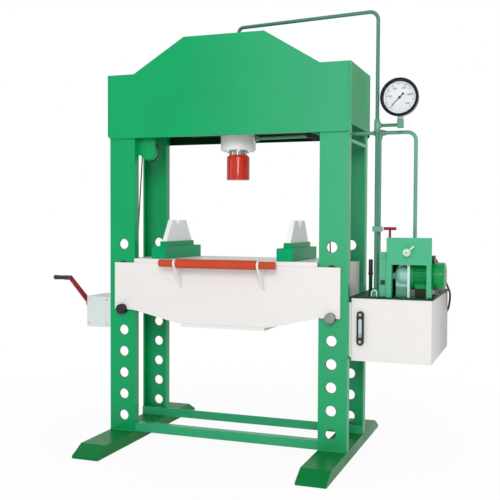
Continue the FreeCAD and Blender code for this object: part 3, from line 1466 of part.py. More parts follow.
def gauge_case():
    """A round case with a raised bezel and its stem down to the elbow, and the dial inside."""
    front = gauge_front()
    wall = gauge_wall
    inner = gauge_dial_radius + dial_room
    dial_front = front + dial_setback
    dial_back = dial_front + dial_thickness
    profile = [(0, gauge_depth), (gauge_radius - 2 * wall, gauge_depth), (gauge_radius, gauge_depth - 2 * wall)]
    profile += [(gauge_radius, 12), (gauge_bezel_radius, 10), (gauge_bezel_radius, 3)]
    profile += [(gauge_bezel_radius - 3, 0), (gauge_bezel_radius - gauge_bezel_width, 0)]
    profile += [(gauge_bezel_radius - gauge_bezel_width, 4), (inner, 4), (inner, gauge_depth - wall)]
    profile += [(0, gauge_depth - wall)]
    case = turned(profile, Vector(gauge_x, front, gauge_height), ALONG_Y)
    stem_top = gauge_height - gauge_radius + wall / 2
    stem_low = gauge_pipe_height - gauge_elbow / 2 + gauge_elbow * 1.4
    stem = rod(gauge_stem_radius, Vector(gauge_x, pressure_y, stem_low), Vector(gauge_x, pressure_y, stem_top))
    nut = hexagon(gauge_nut_width, Vector(gauge_x, pressure_y, stem_low), ALONG_Z, gauge_nut_height)
    dial = rod(gauge_dial_radius, Vector(gauge_x, dial_front, gauge_height), Vector(gauge_x, dial_back, gauge_height))
    boss = rod(dial_boss_radius, Vector(gauge_x, dial_back, gauge_height),
               Vector(gauge_x, front + gauge_depth - wall, gauge_height))
    ledge = tube(inner, inner - dial_ledge, Vector(gauge_x, dial_back, gauge_height),
                 Vector(gauge_x, dial_back + wall, gauge_height))
    return case.fuse([stem, nut, boss, ledge]).removeSplitter(), dial


def gauge_needle():
    """A tapered needle with a round tail on its pivot, lying at zero."""
    front = gauge_front() + dial_setback - needle_gap - needle_thickness
    turn = math.radians(needle_zero)
    along = Vector(math.cos(turn), 0, math.sin(turn))
    across = Vector(-math.sin(turn), 0, math.cos(turn))
    centre = Vector(gauge_x, front, gauge_height)
    depth = ALONG_Y * needle_thickness
    root = across * needle_width / 2
    point = across * needle_point / 2
    tail_centre = centre - along * needle_tail
    tip = centre + along * needle_length
    needle = prism([tail_centre + root, tail_centre - root, tip - point, tip + point], depth)
    tail = rod(needle_tail_radius, tail_centre, tail_centre + depth)
    hub = rod(needle_hub_radius, centre - ALONG_Y, centre + depth)
    pivot = rod(needle_width / 2.7, centre, centre + depth + ALONG_Y * (needle_gap - seat_clearance))
    return needle.fuse([tail, hub, pivot]).removeSplitter()


def gauge_glass():
    radius = gauge_dial_radius + dial_room - seat_clearance
    front = gauge_front() + gauge_wall + seat_clearance
    return rod(radius, Vector(gauge_x, front, gauge_height), Vector(gauge_x, front + glass_thickness, gauge_height))


# ---- export ------------------------------------------------------------------------------------------------

def main():
    os.makedirs("parts", exist_ok=True)
    post = front_left_post()
    export("left_front_post", post)
    export("right_front_post", mirror_x(post))
    export("left_rear_post", mirror_y(post))
    export("right_rear_post", mirror_y(mirror_x(post)))
    foot = left_foot()
    export("left_foot", foot)
    export("right_foot", mirror_x(foot))
    export("tie_bars", *tie_bars())
    front = head_front_plate()
    export("head_front_plate", front)
    export("head_rear_plate", mirror_y(front))
    export("head_inner_plates", *head_inner_plates())

    export("cylinder_barrel", cylinder_barrel())
    export("gland_collar", gland_collar())
    export("ram_rod", *ram_rod())
    export("ram_nose", ram_nose())

    front = table_front_plate()
    export("table_front_plate", front)
    export("table_rear_plate", mirror_y(front))
    export("table_top_plate", table_top_plate())
    export("table_webs", *table_webs())
    right_frame = table_end_frame()
    export("table_end_frames", *right_frame, *[mirror_x(piece) for piece in right_frame])
    export("v_block_bases", v_block_base(v_block_left_x), v_block_base(v_block_right_x))
    export("v_block_plates", v_plate(v_block_left_x), v_plate(v_block_right_x))
    export("roller_bar", *roller_bar())
    export("roller_tube", roller_tube())
    export("left_table_pin", table_pin(-hole_x))
    export("right_table_pin", table_pin(hole_x))

    export("left_table_pulley", grooved_wheel(-pulley_x, pulley_height, pulley_rope_radius))
    export("right_table_pulley", grooved_wheel(pulley_x, pulley_height, pulley_rope_radius))
    export("left_head_sheave", grooved_wheel(left_sheave_x, sheave_height, sheave_rope_radius))
    export("right_head_sheave", grooved_wheel(right_sheave_x, sheave_height, sheave_rope_radius))
    export("rope_brackets", left_bracket(), right_bracket())
    fall_x = pulley_x + pulley_rope_radius
    export("rope_left_fall", rope_fall(saddle_x - saddle_rope_radius, saddle_height, -fall_x))
    export("rope_right_fall", rope_fall(right_sheave_x + sheave_rope_radius, sheave_height, fall_x))
    export("rope_head_run", *head_rope())
    export("rope_table_run", table_rope())

    export("winch_box", *winch_box())
    export("rope_drum", *rope_drum())
    export("crank_shaft", crank_shaft())
    export("crank_arm", crank_arm())
    export("crank_grip", crank_grip())

    export("tank_body", *tank_body())
    export("tank_lid", *tank_lid())
    export("level_gauge", *level_gauge())
    export("valve_panel", valve_panel())
    export("release_valve", release_valve())
    export("t_handle", t_handle())
    export("control_valve", *control_valve())
    export("control_knob", control_knob())
    export("pump_bell", pump_bell())
    export("motor_casing", *motor_casing())
    export("motor_rotor", motor_rotor())
    export("electric_boxes", *electric_boxes())
    export("motor_lead", motor_lead())
    export("breather_cap", breather_cap())
    export("pressure_pipe", *pressure_pipe())
    export("return_pipe", *return_pipe())
    export("pipe_fittings", *pipe_fittings())
    export("gauge_case", *gauge_case())
    export("gauge_needle", gauge_needle())
    export("gauge_glass", gauge_glass())


main()
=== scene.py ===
import bpy
import bmesh
import json
import numpy as np
from math import radians, sin, cos, pi
from mathutils import Matrix, Vector


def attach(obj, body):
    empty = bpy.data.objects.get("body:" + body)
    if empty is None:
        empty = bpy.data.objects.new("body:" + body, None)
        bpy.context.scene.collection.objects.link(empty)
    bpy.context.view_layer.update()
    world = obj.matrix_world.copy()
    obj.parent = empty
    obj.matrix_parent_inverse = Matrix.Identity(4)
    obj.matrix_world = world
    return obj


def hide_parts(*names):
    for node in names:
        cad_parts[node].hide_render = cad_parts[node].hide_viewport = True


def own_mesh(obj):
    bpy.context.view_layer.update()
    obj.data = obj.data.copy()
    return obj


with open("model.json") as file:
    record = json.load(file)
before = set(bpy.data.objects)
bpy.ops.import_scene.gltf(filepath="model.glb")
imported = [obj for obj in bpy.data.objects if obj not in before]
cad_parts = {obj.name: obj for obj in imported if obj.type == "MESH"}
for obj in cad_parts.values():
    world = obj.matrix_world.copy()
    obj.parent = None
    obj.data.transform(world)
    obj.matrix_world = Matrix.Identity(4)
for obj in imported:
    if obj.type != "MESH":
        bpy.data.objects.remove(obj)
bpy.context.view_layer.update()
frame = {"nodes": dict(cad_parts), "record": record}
nodes = frame["nodes"]
floor_z = -0.858          # the table's top face is the origin, so the floor lies this low

# Camera: stands to the right of the machine at about chest height and looks slightly down at it, as in
# the photograph. Its place and focal length come from the machine's own edges and pin holes.
eye = Vector((1.3529, -3.5427, 0.1729))
turned_left, looks_down, rolled = radians(20.046), radians(2.014), radians(0.27)
forward = Vector((-sin(turned_left) * cos(looks_down), cos(turned_left) * cos(looks_down), -sin(looks_down)))
side = Vector((cos(turned_left), sin(turned_left), 0))
top = side.cross(forward)
across = side * cos(rolled) + top * sin(rolled)
upward = top * cos(rolled) - side * sin(rolled)
camera_data = bpy.data.cameras.new("camera")
camera_data.sensor_width = 36.0
camera_data.lens = 58.67
camera_data.clip_end = 60.0
camera = bpy.data.objects.new("camera", camera_data)
bpy.context.scene.collection.objects.link(camera)
turn = Matrix((across, upward, -forward)).transposed()
camera.matrix_world = Matrix.Translation(eye) @ turn.to_4x4()
bpy.context.scene.camera = camera
bpy.context.scene.view_settings.view_transform = "Standard"


# Motor lead: a black rubber-sheathed cable from the motor's terminal box, slack behind the motor, past the
# lid's rear right corner and into the starter box's side. One smooth spline follows the route's points.
def linear(r, g, b):
    """A colour read as 0 to 255 on a screen, as the linear values that a shader takes."""
    c = np.array([r, g, b]) / 255.0
    return tuple(np.where(c <= 0.04045, c / 12.92, ((c + 0.055) / 1.055) ** 2.4)) + (1.0,)


def new_finish(name, rgb, roughness, metallic=0.0):
    """A material with its shader's plain sockets set: returns it, its node tree and the shader."""
    material = bpy.data.materials.new(name)
    material.use_nodes = True
    tree = material.node_tree
    shader = tree.nodes["Principled BSDF"]
    shader.inputs["Base Color"].default_value = linear(*rgb)
    shader.inputs["Roughness"].default_value = roughness
    shader.inputs["Metallic"].default_value = metallic
    return material, tree, shader


def put(tree, kind, sockets=(), **settings):
    """Adds one node, sets its properties, and fills or links its sockets."""
    node = tree.nodes.new("ShaderNode" + kind)
    for key, value in settings.items():
        setattr(node, key, value)
    for key, value in dict(sockets).items():
        if isinstance(value, bpy.types.NodeSocket):
            tree.links.new(value, node.inputs[key])
        else:
            node.inputs[key].default_value = value
    return node


def speckle(tree, place, scale, detail=4.0, roughness=0.55):
    """Cloudy noise from 0 to 1; the scale is the number of clouds in a metre."""
    noise = put(tree, "TexNoise", {"Vector": place, "Scale": scale, "Detail": detail, "Roughness": roughness})
    return noise.outputs["Fac"]


def ramp(tree, value, low, high, out_low=0.0, out_high=1.0):
    """Maps a value between two limits onto two others, clamped."""
    node = put(tree, "MapRange", {"Value": value, "From Min": low, "From Max": high,
                                  "To Min": out_low, "To Max": out_high}, clamp=True)
    return node.outputs["Result"]


def sum_of(tree, operation, first, second=0.0):
    """One arithmetic step on two values."""
    return put(tree, "Math", {0: first, 1: second}, operation=operation).outputs[0]


def tint(tree, share, first, second):
    """Mixes two colours by a share; either may be a socket."""
    node = put(tree, "Mix", data_type="RGBA")
    for index, value in ((0, share), (6, first), (7, second)):
        if isinstance(value, bpy.types.NodeSocket):
            tree.links.new(value, node.inputs[index])
        else:
            node.inputs[index].default_value = value
    return node.outputs[2]


def roughen(tree, shader, height, strength, distance):
    """Bump from a height pattern, its full depth given in metres."""
    bump = put(tree, "Bump", {"Height": height, "Strength": strength, "Distance": distance})
    tree.links.new(bump.outputs["Normal"], shader.inputs["Normal"])


def object_place(tree):
    """Where a point lies on the piece, in metres."""
    return put(tree, "TexCoord").outputs["Object"]


def facing_up(tree):
    """1 on a face that looks up, 0 on an upright one."""
    return put(tree, "SeparateXYZ", {"Vector": put(tree, "NewGeometry").outputs["Normal"]}).outputs["Z"]


def black_rubber(name, rgb, roughness, grain_scale, dust=0.4):
    """Matt black rubber or plastic with a fine moulded grain and pale dust on what faces up."""
    material, tree, shader = new_finish(name, rgb, roughness)
    place = object_place(tree)
    settled = ramp(tree, facing_up(tree), 0.2, 1.0, 0.0, dust)
    share = sum_of(tree, "MULTIPLY", settled, speckle(tree, place, 35.0, 5.0))
    tree.links.new(tint(tree, share, linear(*rgb), linear(110, 108, 102)), shader.inputs["Base Color"])
    roughen(tree, shader, speckle(tree, place, grain_scale, 3.0), 0.25, 0.0004)
    return material


lead_route_mm = [(898, -22, 876), (898, 18, 876), (903, 66, 861), (916, 113, 819), (926, 170, 773),
                 (928, 235, 746), (926, 300, 729), (924, 355, 715), (924, 397, 698), (922, 421, 670),
                 (919, 428, 650), (914, 427, 614), (890, 427, 588), (860, 427, 588)]
lead_points = [(x / 1000, y / 1000, z / 1000 + floor_z) for x, y, z in lead_route_mm]
lead_radius = 0.005


def lead_spline(name, bevel):
    """The lead's route as one open NURBS curve."""
    curve = bpy.data.curves.new(name, "CURVE")
    curve.dimensions = "3D"
    curve.bevel_depth = bevel
    curve.bevel_resolution = 6
    curve.use_fill_caps = bevel > 0
    curve.resolution_u = 12
    spline = curve.splines.new("NURBS")
    spline.points.add(len(lead_points) - 1)
    for point, place in zip(spline.points, lead_points):
        point.co = (*place, 1.0)
    spline.order_u = 3
    spline.use_endpoint_u = True
    return bpy.data.objects.new(name, curve)


lead = lead_spline("motor_lead_sheath", lead_radius)
bpy.context.scene.collection.objects.link(lead)
lead.data.materials.append(black_rubber("lead_sheath", (22, 22, 24), 0.55, 900.0))
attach(lead, "frame")
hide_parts("motor_lead")


# Studio: a white floor that keeps the machine's shadow and turns plain white further out, lit by a broad
# lamp beside the camera, a weak one from the left and an even white world.
def seen_directly(tree):
    """1 for a ray from the camera, off a mirror-like face or through glass, and 0 for one that only lights."""
    path = put(tree, "LightPath")
    seen = sum_of(tree, "MAXIMUM", path.outputs["Is Camera Ray"], path.outputs["Is Glossy Ray"])
    return sum_of(tree, "MAXIMUM", seen, path.outputs["Is Transmission Ray"])


def sweep_finish():
    """Mostly white to the camera, to a mirror and through glass near the machine, and wholly so further out;
    a pale floor to the light. Distances are in metres from the table's middle."""
    shaded_within, white_beyond, white_near = 1.1, 2.3, 0.92
    material, tree, shader = new_finish("studio_white", (250, 250, 250), 0.9)
    shader.inputs["Specular IOR Level"].default_value = 0.0
    seen = seen_directly(tree)
    far = put(tree, "VectorMath", {0: object_place(tree)}, operation="LENGTH").outputs["Value"]
    glow = put(tree, "Emission", {"Color": (1.0, 1.0, 1.0, 1.0), "Strength": 1.0})
    share = sum_of(tree, "MULTIPLY", seen, ramp(tree, far, shaded_within, white_beyond, white_near, 1.0))
    mix = put(tree, "MixShader", {0: share})
    tree.links.new(shader.outputs["BSDF"], mix.inputs[1])
    tree.links.new(glow.outputs["Emission"], mix.inputs[2])
    tree.links.new(mix.outputs["Shader"], tree.nodes["Material Output"].inputs["Surface"])
    return material


half_floor = 14.0
floor_mesh = bpy.data.meshes.new("studio_floor")
corners = [(x * half_floor, y * half_floor, floor_z) for x, y in ((-1, -1), (1, -1), (1, 1), (-1, 1))]
floor_mesh.from_pydata(corners, [], [(0, 1, 2, 3)])
floor_mesh.materials.append(sweep_finish())
studio_floor = bpy.data.objects.new("studio_floor", floor_mesh)
bpy.context.scene.collection.objects.link(studio_floor)

world = bpy.data.worlds.new("studio_world")
world.use_nodes = True
bpy.context.scene.world = world
sky_tree, sky_light = world.node_tree, 0.6
sky = sky_tree.nodes["Background"]
sky_tree.links.new(ramp(sky_tree, seen_directly(sky_tree), 0.0, 1.0, sky_light, 1.0), sky.inputs["Strength"])
sky.inputs["Color"].default_value = (1.0, 1.0, 1.0, 1.0)


def softbox(name, place, target, size, watts):
    """A square lamp that faces a point."""
    data = bpy.data.lights.new(name, "AREA")
    data.size = size
    data.energy = watts
    lamp = bpy.data.objects.new(name, data)
    lamp.location = place
    lamp.rotation_euler = (Vector(target) - Vector(place)).to_track_quat("-Z", "Y").to_euler()
    bpy.context.scene.collection.objects.link(lamp)


softbox("front_lamp", (1.5, -4.7, 1.7), target=(0.1, 0, 0), size=1.6, watts=98.0)
softbox("left_lamp", (-3.6, -2.2, 1.4), target=(0, 0, 0), size=1.8, watts=10.0)


# Portal frame: four folded channel posts with nine pin holes, on folded feet and tied front and rear. Welded
# from plate and sprayed with glossy green enamel; the pins have rubbed the paint off the holes' edges.
hole_aside, hole_lowest, hole_pitch, holes_end = 0.497, 0.123 + floor_z, 0.1, 0.96 + floor_z
bare_within, painted_beyond = 0.0232, 0.0252
dust_tone, grime_tone = linear(150, 146, 136), linear(10, 70, 36)
# The first tone below is a painted sheen: a pale blue-green that stands in for light from the right.
painted_sheen_tone, steel_tone = linear(158, 205, 204), linear(96, 98, 96)


def enamel(name, rgb, roughness=0.3, cloud=0.05, dust=0.25, holes=False, shine=0.22, painted_sheen=0.0):
    """Gloss paint: a cloudy colour, paler towards the upper right by a share of painted sheen that stands in
    for light from the right, dust where it faces up, grime low down, orange-peel bump and a few chips. With
    holes, also bare steel in a ring about 1 mm wide round each pin hole, its edge broken up by noise: a point's
    distance from the nearest hole's middle is the root of its squared distances across and up."""
    material, tree, shader = new_finish(name, rgb, roughness)
    shader.inputs["Specular IOR Level"].default_value = shine
    place = object_place(tree)
    base = np.array(linear(*rgb))
    darker = tuple(base * (1 - cloud))[:3] + (1.0,)
    lighter = tuple(np.minimum(base * (1 + cloud), 1.0))[:3] + (1.0,)
    clouds = speckle(tree, place, 3.5, 3.0)
    colour = tint(tree, ramp(tree, clouds, 0.3, 0.7), darker, lighter)
    settled = speckle(tree, place, 14.0, 6.0, 0.65)
    ledge = sum_of(tree, "MULTIPLY", ramp(tree, facing_up(tree), 0.6, 1.0, 0.0, dust), settled)
    colour = tint(tree, ledge, colour, dust_tone)
    parts = put(tree, "SeparateXYZ", {"Vector": place})
    splashed, grimy = floor_z + 0.18, 0.3
    low = ramp(tree, parts.outputs["Z"], floor_z + 0.02, splashed, grimy, 0.0)
    grime = sum_of(tree, "MULTIPLY", low, ramp(tree, settled, 0.2, 0.75, 0.5, 1.0))
    colour = tint(tree, grime, colour, grime_tone)
    chips_above = 0.785
    bare = ramp(tree, speckle(tree, place, 55.0, 2.0), chips_above, chips_above + 0.01)
    if holes:
        aside = sum_of(tree, "SUBTRACT", sum_of(tree, "ABSOLUTE", parts.outputs["X"]), hole_aside)
        step = sum_of(tree, "DIVIDE", sum_of(tree, "SUBTRACT", parts.outputs["Z"], hole_lowest), hole_pitch)
        over = sum_of(tree, "MULTIPLY", sum_of(tree, "SUBTRACT", step, sum_of(tree, "ROUND", step)), hole_pitch)
        gap = sum_of(tree, "SQRT", sum_of(tree, "ADD", sum_of(tree, "MULTIPLY", aside, aside),
                                          sum_of(tree, "MULTIPLY", over, over)))
        ragged = ramp(tree, speckle(tree, place, 120.0, 4.0), 0.3, 0.7, -0.0022, 0.0022)
        gap = sum_of(tree, "ADD", gap, ragged)
        drilled = ramp(tree, parts.outputs["Z"], holes_end, holes_end + 0.001, 1.0, 0.0)
        worn = sum_of(tree, "MULTIPLY", drilled, ramp(tree, gap, bare_within, painted_beyond, 1.0, 0.0))
        bare = sum_of(tree, "MAXIMUM", bare, worn)
    # Painted sheen: paler towards the right and the top, standing in for light falling from the right.
    painted_sheen_share = sum_of(tree, "MULTIPLY", ramp(tree, parts.outputs["X"], -0.2, 0.55, 0.0, painted_sheen),
                     ramp(tree, parts.outputs["Z"], -0.75, 0.2, 0.3, 1.0))
    colour = tint(tree, painted_sheen_share, colour, painted_sheen_tone)
    colour = tint(tree, bare, colour, steel_tone)
    tree.links.new(colour, shader.inputs["Base Color"])
    dull = ramp(tree, clouds, 0.3, 0.7, roughness - 0.05, roughness + 0.08)
    tree.links.new(dull, shader.inputs["Roughness"])
    roughen(tree, shader, speckle(tree, place, 260.0, 2.0), 0.1, 0.0008)
    return material


body_of = {node: body for body, names in frame["record"]["behaviour"]["bodies"].items() for node in names}


def smoothed(material, *names, edge=1.0, crease=32):
    """Copies of CAD nodes with their triangles merged, shaded smooth between creases, and the creases rounded
    by an edge radius in millimetres. Each stands for its node and rides with it."""
    merge_within, flat_within, rounded_from = 2e-6, radians(0.6), radians(40)
    for name in names:
        mesh = nodes[name].data.copy()
        shell = bmesh.new()
        shell.from_mesh(mesh)
        bmesh.ops.remove_doubles(shell, verts=shell.verts, dist=merge_within)
        bmesh.ops.dissolve_limit(shell, angle_limit=flat_within, verts=shell.verts, edges=shell.edges)
        shell.to_mesh(mesh)
        shell.free()
        mesh.materials.clear()
        mesh.materials.append(material)
        mesh.polygons.foreach_set("use_smooth", [True] * len(mesh.polygons))
        mesh.polygons.foreach_set("material_index", [0] * len(mesh.polygons))
        mesh.set_sharp_from_angle(angle=radians(crease))
        piece = bpy.data.objects.new(name + "_finished", mesh)
        bpy.context.scene.collection.objects.link(piece)
        if edge:
            rounding = piece.modifiers.new("rounded_edges", "BEVEL")
            rounding.width = edge / 1000
            rounding.segments = 2
            rounding.limit_method = "ANGLE"
            rounding.angle_limit = rounded_from
            rounding.harden_normals = True
        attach(piece, body_of[name])
        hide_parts(name)


def forged(name, grids, material, body, crease=32):
    """One piece from grids of points in millimetres, heights from the floor: rows along each grid, columns
    round it, closed round and capped at both ends."""
    points, faces, base = [], [], 0
    for grid in grids:
        rows, turns = grid.shape[:2]
        i, j = np.meshgrid(np.arange(rows - 1), np.arange(turns), indexing="ij")
        k = (j + 1) % turns
        quads = np.stack([i * turns + j, i * turns + k, (i + 1) * turns + k, (i + 1) * turns + j], -1) + base
        first_cap, last_cap = base + np.arange(turns), base + (rows - 1) * turns + np.arange(turns)
        faces += quads.reshape(-1, 4).tolist() + [first_cap[::-1].tolist(), last_cap.tolist()]
        points.append(grid.reshape(-1, 3))
        base += rows * turns
    mesh = bpy.data.meshes.new(name)
    mesh.from_pydata((np.concatenate(points) / 1000.0 + np.array([0, 0, floor_z])).tolist(), [], faces)
    shell = bmesh.new()
    shell.from_mesh(mesh)
    bmesh.ops.recalc_face_normals(shell, faces=shell.faces)
    shell.to_mesh(mesh)
    shell.free()
    mesh.materials.append(material)
    mesh.polygons.foreach_set("use_smooth", [True] * len(mesh.polygons))
    mesh.set_sharp_from_angle(angle=radians(crease))
    piece = bpy.data.objects.new(name, mesh)
    bpy.context.scene.collection.objects.link(piece)
    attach(piece, body)
    return piece


def tube_along(path, radius, leaning, turns=8):
    """A round section carried along a path: centre + radius * (cos, sin) in the plane across the path's
    direction, whose first axis leans as told. The radius may change along the path."""
    path = np.asarray(path, float)
    ahead = np.gradient(path, axis=0)
    ahead /= np.linalg.norm(ahead, axis=1)[:, None]
    leaning = np.asarray(leaning, float)
    first = leaning - (ahead @ leaning)[:, None] * ahead
    first /= np.linalg.norm(first, axis=1)[:, None]
    second = np.cross(ahead, first)
    t = np.arange(turns) * 2 * pi / turns
    ring = np.cos(t)[:, None] * first[:, None] + np.sin(t)[:, None] * second[:, None]
    return path[:, None] + np.broadcast_to(radius, len(path))[:, None, None] * ring


def bead(start, end, size=3.5, pitch=5.0):
    """A weld between two points: a tube whose radius swells and sinks by a tenth with each ripple, a cosine of
    the distance, and thins out towards both ends."""
    start, end = np.asarray(start, float), np.asarray(end, float)
    length = np.linalg.norm(end - start)
    rows = max(int(length / pitch * 3), 6)
    share = np.linspace(0, 1, rows)
    radius = size * (0.92 + 0.1 * np.cos(share * length * 2 * pi / pitch))
    radius *= np.minimum(1, 0.35 + 6 * np.minimum(share, 1 - share))
    upright = abs((end - start)[2]) >= 0.8 * length
    leaning = (0.8, 0.6, 0.1) if upright else (0.3, 0.5, 0.81)
    return tube_along(start + share[:, None] * (end - start), radius, leaning, 6)


green_rgb = (0, 162, 96)
# The posts' and head's enamels carry a painted sheen towards the upper right, in place of light from the right.
post_green = enamel("post_enamel", green_rgb, holes=True, painted_sheen=0.15)
green = enamel("frame_enamel", green_rgb, dust=0.12, painted_sheen=0.13)
foot_green = enamel("foot_enamel", (4, 134, 64), dust=0.03, shine=0.07)
tie_green = enamel("tie_enamel", (50, 174, 120), dust=0.12)
smoothed(post_green, "left_front_post", "right_front_post", "left_rear_post", "right_rear_post", edge=1.5)
smoothed(foot_green, "left_foot", "right_foot", edge=1.5)
smoothed(tie_green, "tie_bars", edge=1.5)
foot_top, web_face, lip = 51, 186, 146
seams = []
for hand in (-1, 1):
    for back in (-1, 1):
        outside, inside = hand * 568, hand * 440
        seams.append(bead((outside, back * web_face, foot_top), (inside, back * web_face, foot_top), 4))
        for x in (outside, inside):
            seams.append(bead((x, back * 184, foot_top), (x, back * lip, foot_top)))
forged("post_foot_welds", seams, green, "frame")


# Head: two deep crested plates over the posts, with end plates, a seat plate and thrust plates welded
# between them. The cylinder's weight and force go through the seat plate.
def repaint(material, share, rgb):
    """Lays another colour over a material's own where the share says."""
    tree = material.node_tree
    colour = tree.nodes["Principled BSDF"].inputs["Base Color"]
    tree.links.new(tint(tree, share, colour.links[0].from_socket, linear(*rgb)), colour)
    return material


def coordinate(tree, axis):
    """One object coordinate, in metres: X, Y or Z."""
    return put(tree, "SeparateXYZ", {"Vector": object_place(tree)}).outputs[axis]


def painted_shade_inside(name, axis, low, high):
    """The frame's green, with painted shade, a near-black green standing in for the shade inside the head, on
    faces whose distance across the machine, or whose normal along another axis, is below two close limits."""
    material = enamel(name, green_rgb, 0.34, shine=0.06)
    tree = material.node_tree
    if axis == "X":
        value = sum_of(tree, "ABSOLUTE", coordinate(tree, "X"))
    else:
        value = put(tree, "SeparateXYZ", {"Vector": put(tree, "NewGeometry").outputs["Normal"]}).outputs[axis]
    # Painted shade: near-black green where the head's inside lies in shade.
    return repaint(material, ramp(tree, value, low, high, 1.0, 0.0), (6, 46, 28))


smoothed(green, "head_front_plate", edge=1.5)
# The rear plate's forward-facing faces and the inner plates between the posts carry painted shade, near black.
smoothed(painted_shade_inside("rear_plate_painted_shade", "Y", -0.6, -0.5), "head_rear_plate", edge=1.5)
smoothed(painted_shade_inside("inner_plate_painted_shade", "X", 0.555, 0.556), "head_inner_plates", edge=1.0)

head_bottom, shoulder, end_plate_edge = 1409, 1700, 197
seams = []
for hand in (-1, 1):
    for y in (-web_face, web_face):
        seams.append(bead((hand * 566, y, head_bottom), (hand * 442, y, head_bottom), 4))
    for y in (-end_plate_edge, end_plate_edge):
        seams.append(bead((hand * 567, y, head_bottom + 36), (hand * 567, y, shoulder), 3))
forged("head_welds", seams, green, "frame")


# Cylinder: a thick-walled green barrel standing in the head, closed at its foot by a white turned collar that
# eight cap screws hold, with the ram's ground and chromed rod and its red nose below.
def turned(profile, foot, aim, turns=24, start=0.0):
    """A profile of (distance, radius) pairs carried round a line: foot + distance * aim + radius * (cos, sin)
    across it."""
    p = np.asarray(profile, float)
    aim = np.asarray(aim, float) / np.linalg.norm(aim)
    first = np.cross(aim, (0.0, 0.0, 1.0) if abs(aim[2]) < 0.9 else (1.0, 0.0, 0.0))
    first /= np.linalg.norm(first)
    second = np.cross(aim, first)
    t = start + np.arange(turns) * 2 * pi / turns
    ring = np.cos(t)[:, None] * first + np.sin(t)[:, None] * second
    return np.asarray(foot, float) + p[:, 0, None, None] * aim + p[:, 1, None, None] * ring


def cap_screw(foot, aim, radius, height):
    """A socket head: a turned cylinder with a broken edge and a round recess drawn down into it."""
    edge, mouth, bottom = 0.6, radius * 0.58, height * 0.45
    profile = [(0, radius), (height - edge, radius), (height, radius - edge), (height, mouth),
               (bottom, radius * 0.55), (bottom, 0.2)]
    return turned(profile, foot, aim, 18)


def hex_head(foot, aim, radius, height, start=0.0):
    """A six-sided head with its top corners turned off."""
    profile = [(0, radius), (height * 0.86, radius), (height, radius * 0.86), (height, 0.2)]
    return turned(profile, foot, aim, 6, start)


def ground_steel(name, rgb, roughness, direction, scale=220.0, oil=0.0):
    """Bright steel with fine marks drawn out along one axis, and a faint film of oil in patches."""
    material, tree, shader = new_finish(name, rgb, roughness, 1.0)
    stretch = put(tree, "Mapping", {"Vector": object_place(tree), "Scale": direction})
    marks = speckle(tree, stretch.outputs["Vector"], scale, 3.0)
    patches = speckle(tree, object_place(tree), 9.0, 3.0)
    base = np.array(linear(*rgb))
    dim = tuple(base * 0.72)[:3] + (1.0,)
    film = ramp(tree, patches, 0.35, 0.75, 0.0, 0.35 + oil)
    dull = ramp(tree, marks, 0.25, 0.75, roughness * 0.7, roughness * 1.4)
    tree.links.new(tint(tree, film, linear(*rgb), dim), shader.inputs["Base Color"])
    tree.links.new(dull, shader.inputs["Roughness"])
    roughen(tree, shader, marks, 0.06, 0.0004)
    return material


white = enamel("table_enamel", (236, 233, 231), 0.34, 0.012, 0.3)
# The collar's white is a brighter copy of the table's enamel, and its screws share it: painted light against
# the shade under the head.
collar_lit_white = enamel("collar_enamel_painted_light", (252, 252, 250), 0.34, 0.012, 0.0)
red = enamel("signal_enamel", (206, 40, 20), 0.17, 0.05, 0.06, shine=0.36)
dark_steel = ground_steel("dark_screws", (70, 70, 72), 0.38, (1, 1, 1))
bright = ground_steel("bright_steel", (196, 196, 194), 0.24, (1, 8, 1))
chrome = ground_steel("chromed_rod", (158, 156, 156), 0.09, (1, 1, 14))
smoothed(green, "cylinder_barrel")
smoothed(collar_lit_white, "gland_collar", edge=0.8)
smoothed(chrome, "ram_rod", edge=0.5)
smoothed(red, "ram_nose", edge=1.2)
round_eight = np.arange(8) * pi / 4 + pi / 8
collar_circle, collar_face, cap_circle, cap_face = 66, 1357.3, 68, 1789.7
collar_screws = [cap_screw((collar_circle * cos(a), collar_circle * sin(a), collar_face), (0, 0, -1), 6.5, 6.5)
                 for a in round_eight]
forged("collar_screws", collar_screws, collar_lit_white, "frame")
cap_screws = [cap_screw((cap_circle * cos(a), cap_circle * sin(a), cap_face), (0, 0, 1), 7.5, 8)
              for a in round_eight]
forged("cylinder_cap_screws", cap_screws, dark_steel, "frame")

# Table: two bellied side plates joined by a top plate, cross plates and gussets, with folded end frames that
# hold the rope's pulleys outside the posts. Warm white enamel, worn and dusty on top.
smoothed(white, "table_front_plate", "table_rear_plate", "table_top_plate", edge=1.5)
smoothed(white, "table_webs", "table_end_frames", edge=0)
gusset_x, half_gusset, plate_face = 196, 5.5, -200
sides = [hand * gusset_x + way * half_gusset for hand in (-1, 1) for way in (-1, 1)]
seams = [bead((x, plate_face, 732), (x, plate_face, 836), 3) for x in sides]
forged("gusset_welds", seams, white, "table")

# V-blocks: green folded bases that stand across the table, each with a thick plate whose V carries round
# stock. The plates stand on end in their bases and are painted pale.
v_plate_paint = enamel("v_plate_enamel", (250, 252, 251), 0.36, 0.03, 0.15)
smoothed(enamel("block_enamel", (6, 160, 104), 0.3, 0.05, 0.03, shine=0.08), "v_block_bases", edge=1.0)
smoothed(v_plate_paint, "v_block_plates", edge=1.0)

# Roller: a red tube that turns on a fixed bar in front of the table, so that long work can be slid on. The
# bar lies in two gussets and is kept there by a snap ring at each end.
roller_red = enamel("roller_enamel", (198, 68, 34), 0.22, 0.06, 0.08, shine=0.3)
smoothed(roller_red, "roller_bar", "roller_tube", edge=0.6)
ring_profile = [(0, 9.9), (0, 12.6), (1.4, 12.6), (1.4, 9.9)]
forged("roller_snap_rings", [turned(ring_profile, (x, -267, 843), (1, 0, 0), 32) for x in (-270.5, 269.1)],
       dark_steel, "table")

